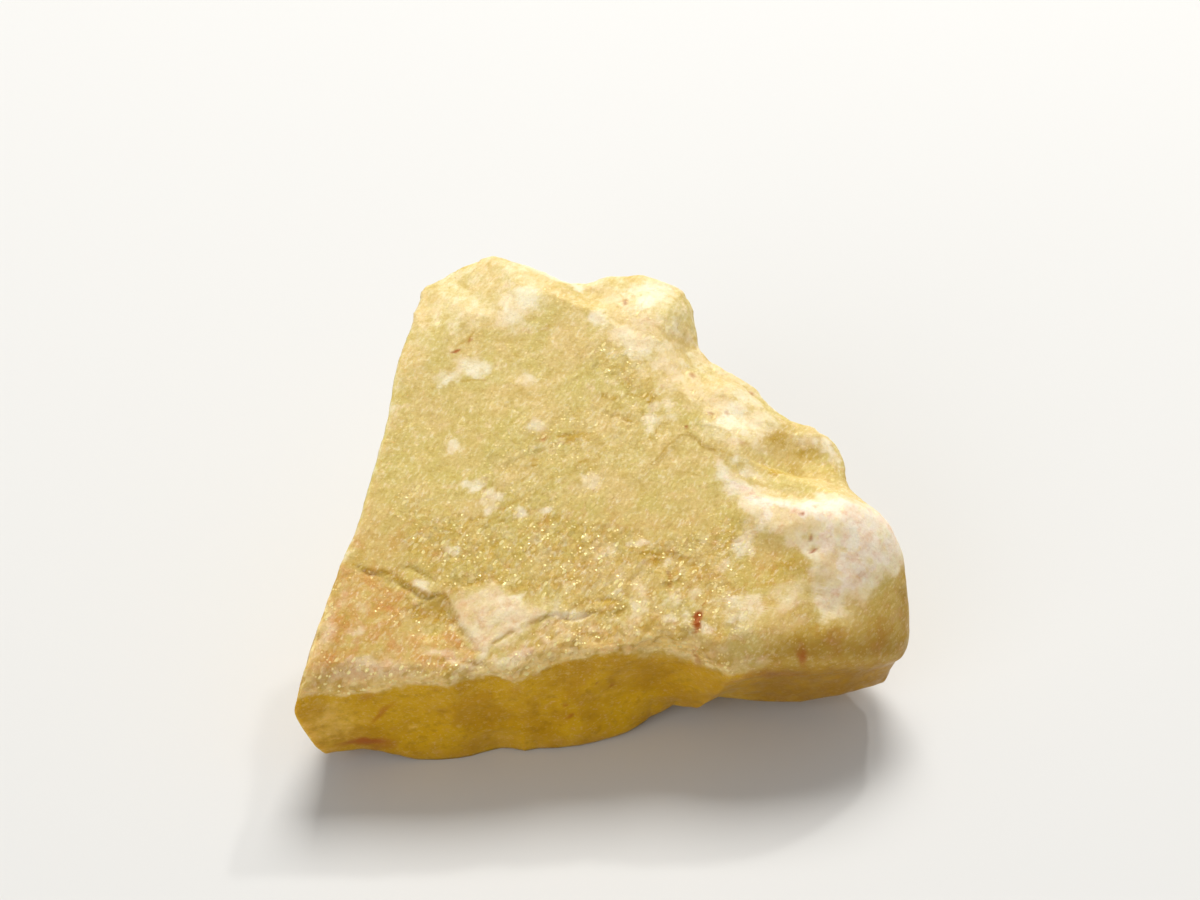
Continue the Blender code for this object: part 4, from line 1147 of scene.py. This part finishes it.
# %% [markdown]
# ## The danburite material
# Cloudy danburite is neither glass nor chalk. Light goes about half a millimetre into it, turns golden,
# and comes out again, which is subsurface scattering; its skin still reflects like the hard mineral that
# it is, with an index of refraction of 1.63. The base colour is mixed in layers: straw with mottling,
# honey, which is also painted shade in hollows and creases, the amber of the waxy break, deepened as
# painted shade and glow, milk, blush, the tones of the cleavage cells, sugary grains whose pale ones are
# partly painted sparkle, rust, and last the tiny flashes, painted glints. Noise in the mix is read on
# Object coordinates, so it stays with the stone.

# %% Shader helpers
def colour(red, green, blue):
    """A colour given as a screen shows it, from 0 to 255, in the linear values that a shader mixes."""
    shown = np.array([red, green, blue]) / 255
    linear = np.where(shown <= 0.04045, shown / 12.92, ((shown + 0.055) / 1.055) ** 2.4)
    return (*[float(value) for value in linear], 1.0)


def add(tree, kind, inputs=(), **settings):
    """A node with its settings made and its inputs filled: a socket is linked, a value is set."""
    node = tree.nodes.new(kind)
    for name, value in settings.items():
        setattr(node, name, value)
    for name, value in dict(inputs).items():
        if isinstance(value, bpy.types.NodeSocket):
            tree.links.new(value, node.inputs[name])
        else:
            node.inputs[name].default_value = value
    return node


def maths(tree, operation, a, b):
    """Two values put together by one Math node."""
    return add(tree, "ShaderNodeMath", {0: a, 1: b}, operation=operation).outputs[0]


def times(tree, a, b):
    """Two values multiplied."""
    return maths(tree, "MULTIPLY", a, b)


def plus(tree, a, b):
    """Two values added."""
    return maths(tree, "ADD", a, b)


def ramp(tree, value, low, high, to_low=0.0, to_high=1.0):
    """A value stretched from low..high to to_low..to_high along an S curve, and held at both ends."""
    inputs = {"Value": value, "From Min": low, "From Max": high, "To Min": to_low, "To Max": to_high}
    return add(tree, "ShaderNodeMapRange", inputs, interpolation_type="SMOOTHSTEP").outputs["Result"]


def blend(tree, share, below, above):
    """Two colours mixed by a share; a Mix node has its colours on sockets 6 and 7, and puts out on 2."""
    return add(tree, "ShaderNodeMix", {0: share, 6: below, 7: above}, data_type="RGBA").outputs[2]


def noise(tree, place, size, detail):
    """Noise with features of about size millimetres."""
    inputs = {"Vector": place, "Scale": 1 / (size * MM), "Detail": detail}
    return add(tree, "ShaderNodeTexNoise", inputs).outputs["Fac"]


def mask(tree, name):
    """One of the masks that are stored on the points."""
    return add(tree, "ShaderNodeAttribute", attribute_name=name).outputs["Fac"]


print("straw, linear:", [round(value, 3) for value in colour(224, 202, 129)[:3]])


# %% Group helpers
def new_group(name, measures, outputs):
    """A node group with its sockets: a Place and some measures, with their usual values, go in, and plain
    values come out."""
    group = bpy.data.node_groups.new(name, "ShaderNodeTree")
    group.interface.new_socket("Place", in_out="INPUT", socket_type="NodeSocketVector")
    for label, usual in measures.items():
        socket = group.interface.new_socket(label, in_out="INPUT", socket_type="NodeSocketFloat")
        socket.default_value = usual
    for label in outputs:
        group.interface.new_socket(label, in_out="OUTPUT", socket_type="NodeSocketFloat")
    return group


def placed(tree, group, inputs):
    """The outputs of a node group that is placed in a tree."""
    return add(tree, "ShaderNodeGroup", inputs, node_tree=group).outputs


print("node groups so far:", len(bpy.data.node_groups))

# %% [markdown]
# ## Cleavage glints as a node group
# Danburite glitters where thousands of tiny cleavage planes lie at slightly different slants. A Voronoi
# texture gives each plane a cell. The dot product of the cell's random colour with the place in the
# cell is a height that rises evenly across it, so a Bump node tilts each cell its own way. The same
# random colour picks the few cells that flash. The material uses the group at two sizes.

# %% Cleavage glint group
CLEAVAGE = (0.0, -0.75, 0.0)  # the rise that all flashing cells share, towards the front, per unit of length


def glint_group():
    """Size in millimetres and rarity in; the height of the tilted cells, a mask of the flashing ones and a
    random tone of each cell out."""
    group = new_group("cleavage_glints", {"Size": 0.3, "Rarity": 0.9}, ["Height", "Flash", "Tone"])
    given = group.nodes.new("NodeGroupInput").outputs
    scale = maths(group, "DIVIDE", 1 / MM, given["Size"])
    cells = add(group, "ShaderNodeTexVoronoi", {"Vector": given["Place"], "Scale": scale})
    chance = add(group, "ShaderNodeSeparateColor", {"Color": cells.outputs["Color"]}).outputs
    near = ramp(group, cells.outputs["Distance"], 0.55, 0.30)
    flash = times(group, maths(group, "GREATER_THAN", chance["Red"], given["Rarity"]), near)
    slant = add(group, "ShaderNodeVectorMath", {0: cells.outputs["Color"], 1: (0.5, 0.5, 0.5)},
                operation="SUBTRACT").outputs[0]
    shared = add(group, "ShaderNodeVectorMath", {0: CLEAVAGE, "Scale": flash}, operation="SCALE").outputs[0]
    tilt = add(group, "ShaderNodeVectorMath", {0: slant, 1: shared}, operation="ADD").outputs[0]
    local = add(group, "ShaderNodeVectorMath", {0: given["Place"], 1: cells.outputs["Position"]},
                operation="SUBTRACT").outputs[0]
    rise = add(group, "ShaderNodeVectorMath", {0: tilt, 1: local}, operation="DOT_PRODUCT").outputs["Value"]
    add(group, "NodeGroupOutput", {"Height": rise, "Flash": flash, "Tone": chance["Green"]})
    return group


glints = glint_group()
print("cleavage glints: %d nodes" % len(glints.nodes))

# %% [markdown]
# ## Speckle as a node group
# Seen closely, no patch of a mineral has one colour: it has pale and dark grains inside larger pale and
# dark clouds. One noise texture read at its bright end gives pale grains, and at its dark end dark ones.
# The group holds that pair of readings, and the material places it three times, for clouds, for patches
# and for grains as fine as sugar.

# %% Speckle group
def speckle_group():
    """Size in millimetres and roughness in; a mask of pale and one of dark grains, and the noise, out."""
    group = new_group("speckle", {"Size": 0.5, "Roughness": 0.6}, ["Pale", "Dark", "Cloud"])
    given = group.nodes.new("NodeGroupInput").outputs
    scale = maths(group, "DIVIDE", 1 / MM, given["Size"])
    inputs = {"Vector": given["Place"], "Scale": scale, "Detail": 3.0, "Roughness": given["Roughness"]}
    grains = add(group, "ShaderNodeTexNoise", inputs).outputs["Fac"]
    pale = ramp(group, grains, 0.52, 0.68)
    dark = ramp(group, grains, 0.48, 0.32)
    add(group, "NodeGroupOutput", {"Pale": pale, "Dark": dark, "Cloud": grains})
    return group


speckle = speckle_group()
print("speckle: %d nodes" % len(speckle.nodes))

# %% Colours of the stone
OLIVE = colour(214, 193, 112)
TAN = colour(226, 197, 129)
STRAW_PALE = colour(250, 230, 172)
STRAW_DEEP = colour(196, 164, 74)
# Honey: a golden colour of the stone, also used as painted shade in hollows and creases.
HONEY = colour(194, 155, 50)
# The amber of the front break is partly its own colour and partly painted: the deep gold of light that has
# passed through the stone, and painted shade of walls that face away from the key light.
AMBER = colour(210, 162, 4)
AMBER_DEEP = colour(192, 142, 0)
AMBER_SHADE = colour(158, 112, 4)
# Pale amber for milky places of the break, and painted light on the crust along the front rim.
AMBER_PALE = colour(255, 214, 112)
PEARL = colour(255, 236, 212)
MILK = colour(250, 238, 206)
MILK_DEEP = colour(244, 222, 178)
BLUSH = colour(214, 150, 82)
RUST = colour(168, 82, 18)
# Pale grains: the stone's sugary grain, and partly painted sparkle, tiny bright specks in the base colour.
SUGAR_SPARKLE = colour(255, 246, 210)
SHADE = colour(178, 142, 58)
# Bright gold painted into the base colour of the flashing cells: painted glints, besides their tilt and
# their touch of metal.
FLASH = colour(255, 234, 164)
GOLD_TINT = colour(255, 238, 196)

CLOUDS = 2.2, 0.6  # size in millimetres, and roughness, of the three kinds of speckle
PATCHES = 0.62, 0.65
GRAINS = 0.15, 0.5
FEATHER = 1.3  # how much the patches move the borders of the masks
CELL_TONES = 0.40  # how much lighter or darker than their neighbours the cleavage cells can be
GRAIN_SHADE, GRAIN_SPARKLE = 0.35, 0.40  # strength of the dark and of the pale grains
print("honey, linear:", [round(value, 3) for value in HONEY[:3]])


# %% Layers of colour
def speckled(tree, place, measures):
    """The outputs of a speckle group, by its size and roughness."""
    return placed(tree, speckle, {"Place": place, "Size": measures[0], "Roughness": measures[1]})


def base_colour(tree, place, strokes, tone, flash):
    """Straw, honey, amber, milk, blush, tones, grains, rust and flashes, each laid over the last by its
    own mask."""
    clouds = speckled(tree, place, CLOUDS)
    patches = speckled(tree, place, PATCHES)
    grains = speckled(tree, strokes, GRAINS)
    feather = times(tree, maths(tree, "SUBTRACT", patches["Cloud"], 0.5), FEATHER)
    wax_with_painted_light = mask(tree, "wax_with_painted_light")
    glitter = mask(tree, "glitter")

    colours = blend(tree, ramp(tree, clouds["Cloud"], 0.32, 0.68), OLIVE, TAN)
    colours = blend(tree, times(tree, patches["Dark"], 0.5), colours, STRAW_DEEP)
    colours = blend(tree, times(tree, patches["Pale"], 0.5), colours, STRAW_PALE)
    honey_and_shade = ramp(tree, plus(tree, mask(tree, "honey_and_shade"), feather), 0.05, 0.95)
    colours = blend(tree, honey_and_shade, colours, HONEY)
    # Amber of the break, deepened as painted shade and glow; where honey lies it turns to AMBER_SHADE.
    amber = blend(tree, ramp(tree, clouds["Cloud"], 0.36, 0.64), AMBER_DEEP, AMBER)
    amber = blend(tree, times(tree, patches["Dark"], 0.35), amber, AMBER_SHADE)
    amber = blend(tree, honey_and_shade, amber, AMBER_SHADE)
    colours = blend(tree, wax_with_painted_light, colours, amber)

    given = mask(tree, "milk")
    feathered = ramp(tree, plus(tree, given, feather), 0.08, 0.92)
    milk = plus(tree, times(tree, feathered, 0.7), times(tree, given, 0.3))
    milky = blend(tree, ramp(tree, clouds["Cloud"], 0.60, 0.42), MILK_DEEP, MILK)
    milky = blend(tree, times(tree, patches["Dark"], 0.6), milky, MILK_DEEP)
    milky = blend(tree, ramp(tree, given, 0.86, 1.0), milky, PEARL)
    milky = blend(tree, wax_with_painted_light, milky, AMBER_PALE)
    colours = blend(tree, milk, colours, milky)
    blush = ramp(tree, plus(tree, mask(tree, "blush"), feather), 0.0, 1.0)
    colours = blend(tree, blush, colours, BLUSH)

    toned = times(tree, glitter, CELL_TONES)
    colours = blend(tree, times(tree, ramp(tree, tone, 0.4, 0.0), toned), colours, HONEY)
    colours = blend(tree, times(tree, ramp(tree, tone, 0.6, 1.0), toned), colours, STRAW_PALE)
    grainless = maths(tree, "MAXIMUM", wax_with_painted_light, given)
    patchy = ramp(tree, patches["Cloud"], 0.3, 0.7, 0.3, 1)
    grainy = times(tree, ramp(tree, grainless, 0, 0.7, 1.0, 0.3), patchy)
    colours = blend(tree, times(tree, grains["Dark"], times(tree, grainy, GRAIN_SHADE)), colours, SHADE)
    # Pale grains, partly painted sparkle.
    colours = blend(tree, times(tree, grains["Pale"], times(tree, grainy, GRAIN_SPARKLE)), colours, SUGAR_SPARKLE)
    colours = blend(tree, mask(tree, "rust"), colours, RUST)
    # Last, the flashing cells, painted bright gold: painted glints.
    return blend(tree, flash, colours, FLASH)


print("the layers read these masks:", ", ".join(masks))

# %% Danburite material
STROKE_BEARING = 58  # the glints of the face are short strokes that lie at this bearing, in degrees
STROKE_LENGTH = 2.4  # and are this many times as long as wide
FINE_GLINTS = 0.13, 0.90  # size in millimetres, and the share of cells that don't flash
COARSE_GLINTS = 0.20, 0.93
CLEAR_SKIN, FROSTED_SKIN = 0.40, 0.62  # roughness
FLASH_POLISH, WAX_POLISH = -0.22, -0.12  # what a flash and the waxy break take off it
FLASH_METALLIC = 0.15
CELL_TILT = 0.45  # share of the cells' full tilt
GRAIN_HEIGHT, WAX_GRAIN_HEIGHT = 0.022 * MM, 0.012 * MM


def danburite_material():
    """A cloudy, golden, hard mineral: scattering below a skin that is frosted in places."""
    material = bpy.data.materials.new("danburite")
    material.use_nodes = True
    tree = material.node_tree
    shader = tree.nodes["Principled BSDF"]
    shader.subsurface_method = "RANDOM_WALK"
    place = add(tree, "ShaderNodeTexCoord").outputs["Object"]
    laid = {"Vector": place, "Rotation": (0, 0, np.radians(STROKE_BEARING)), "Scale": (STROKE_LENGTH, 1, 1)}
    strokes = add(tree, "ShaderNodeMapping", laid, vector_type="TEXTURE").outputs[0]
    fine = placed(tree, glints, {"Place": place, "Size": FINE_GLINTS[0], "Rarity": FINE_GLINTS[1]})
    coarse = placed(tree, glints, {"Place": strokes, "Size": COARSE_GLINTS[0], "Rarity": COARSE_GLINTS[1]})
    glitter = mask(tree, "glitter")
    flash = times(tree, maths(tree, "MAXIMUM", fine["Flash"], coarse["Flash"]), glitter)
    base_tone = base_colour(tree, place, strokes, coarse["Tone"], times(tree, flash, 0.9))
    tree.links.new(base_tone, shader.inputs["Base Color"])

    frost = ramp(tree, noise(tree, place, 0.5, 4), 0.3, 0.7, CLEAR_SKIN, FROSTED_SKIN)
    frost = plus(tree, frost, times(tree, flash, FLASH_POLISH))
    frost = plus(tree, frost, times(tree, mask(tree, "wax_with_painted_light"), WAX_POLISH))
    tree.links.new(frost, shader.inputs["Roughness"])

    tilted = times(tree, plus(tree, fine["Height"], coarse["Height"]), glitter)
    grain_height = ramp(tree, mask(tree, "wax_with_painted_light"), 0, 1, GRAIN_HEIGHT, WAX_GRAIN_HEIGHT)
    grain = times(tree, noise(tree, place, 0.13, 3), grain_height)
    height = plus(tree, times(tree, tilted, CELL_TILT), grain)
    bump = add(tree, "ShaderNodeBump", {"Strength": 1.0, "Distance": 1.0, "Height": height})
    tree.links.new(bump.outputs["Normal"], shader.inputs["Normal"])

    tree.links.new(times(tree, flash, FLASH_METALLIC), shader.inputs["Metallic"])
    shader.inputs["IOR"].default_value = 1.63
    shader.inputs["Specular IOR Level"].default_value = 0.22
    shader.inputs["Specular Tint"].default_value = GOLD_TINT
    shader.inputs["Subsurface Weight"].default_value = 0.6
    shader.inputs["Subsurface Radius"].default_value = (1.0, 0.85, 0.6)
    shader.inputs["Subsurface Scale"].default_value = 0.5 * MM
    return material


crystal.data.materials.append(danburite_material())
print("danburite: %d nodes" % len(crystal.data.materials[0].node_tree.nodes))

# %% [markdown]
# ## Floor and light
# The stone lies on a plain pale table. A large soft light stands almost straight behind it, so that the
# sloping face is bright and the ledges read. A weaker one fills in from the front left, and a small one,
# behind on the right, gives the cleavage planes something to flash with.

# %% Floor
def make_floor():
    """A plain square, one metre to each side, with its material."""
    mesh = bpy.data.meshes.new("floor")
    corners = [(-1, -1, 0), (1, -1, 0), (1, 1, 0), (-1, 1, 0)]
    mesh.from_pydata(corners, [], [(0, 1, 2, 3)])
    material = bpy.data.materials.new("pale_table")
    material.use_nodes = True
    shader = material.node_tree.nodes["Principled BSDF"]
    shader.inputs["Base Color"].default_value = colour(214, 212, 207)
    shader.inputs["Roughness"].default_value = 0.8
    mesh.materials.append(material)
    floor = bpy.data.objects.new("floor", mesh)
    bpy.context.scene.collection.objects.link(floor)
    return floor


floor = make_floor()
print("floor:", floor.name)

# %% Lights
# Place in metres, size in metres, power in watts.
LIGHTS = {
    "key": ((0.02, 0.27, 0.42), 0.22, 2.3),
    "fill": ((-0.25, -0.35, 0.22), 0.40, 0.75),
    "glint": ((0.14, 0.28, 0.30), 0.02, 0.31),
}


def make_light(name, place, size, power):
    """A square area light that faces the stone."""
    data = bpy.data.lights.new(name, "AREA")
    data.size = size
    data.energy = power
    light = bpy.data.objects.new(name, data)
    light.location = place
    light.rotation_euler = (AIM - Vector(place)).to_track_quat("-Z", "Y").to_euler()
    bpy.context.scene.collection.objects.link(light)
    return light


for name, measures in LIGHTS.items():
    make_light(name, *measures)
world = bpy.data.worlds.new("studio")
world.use_nodes = True
background = world.node_tree.nodes["Background"]
background.inputs["Color"].default_value = colour(236, 238, 242)
background.inputs["Strength"].default_value = 0.40
bpy.context.scene.world = world
bpy.context.scene.view_settings.view_transform = "Standard"
print("lights:", ", ".join(LIGHTS))
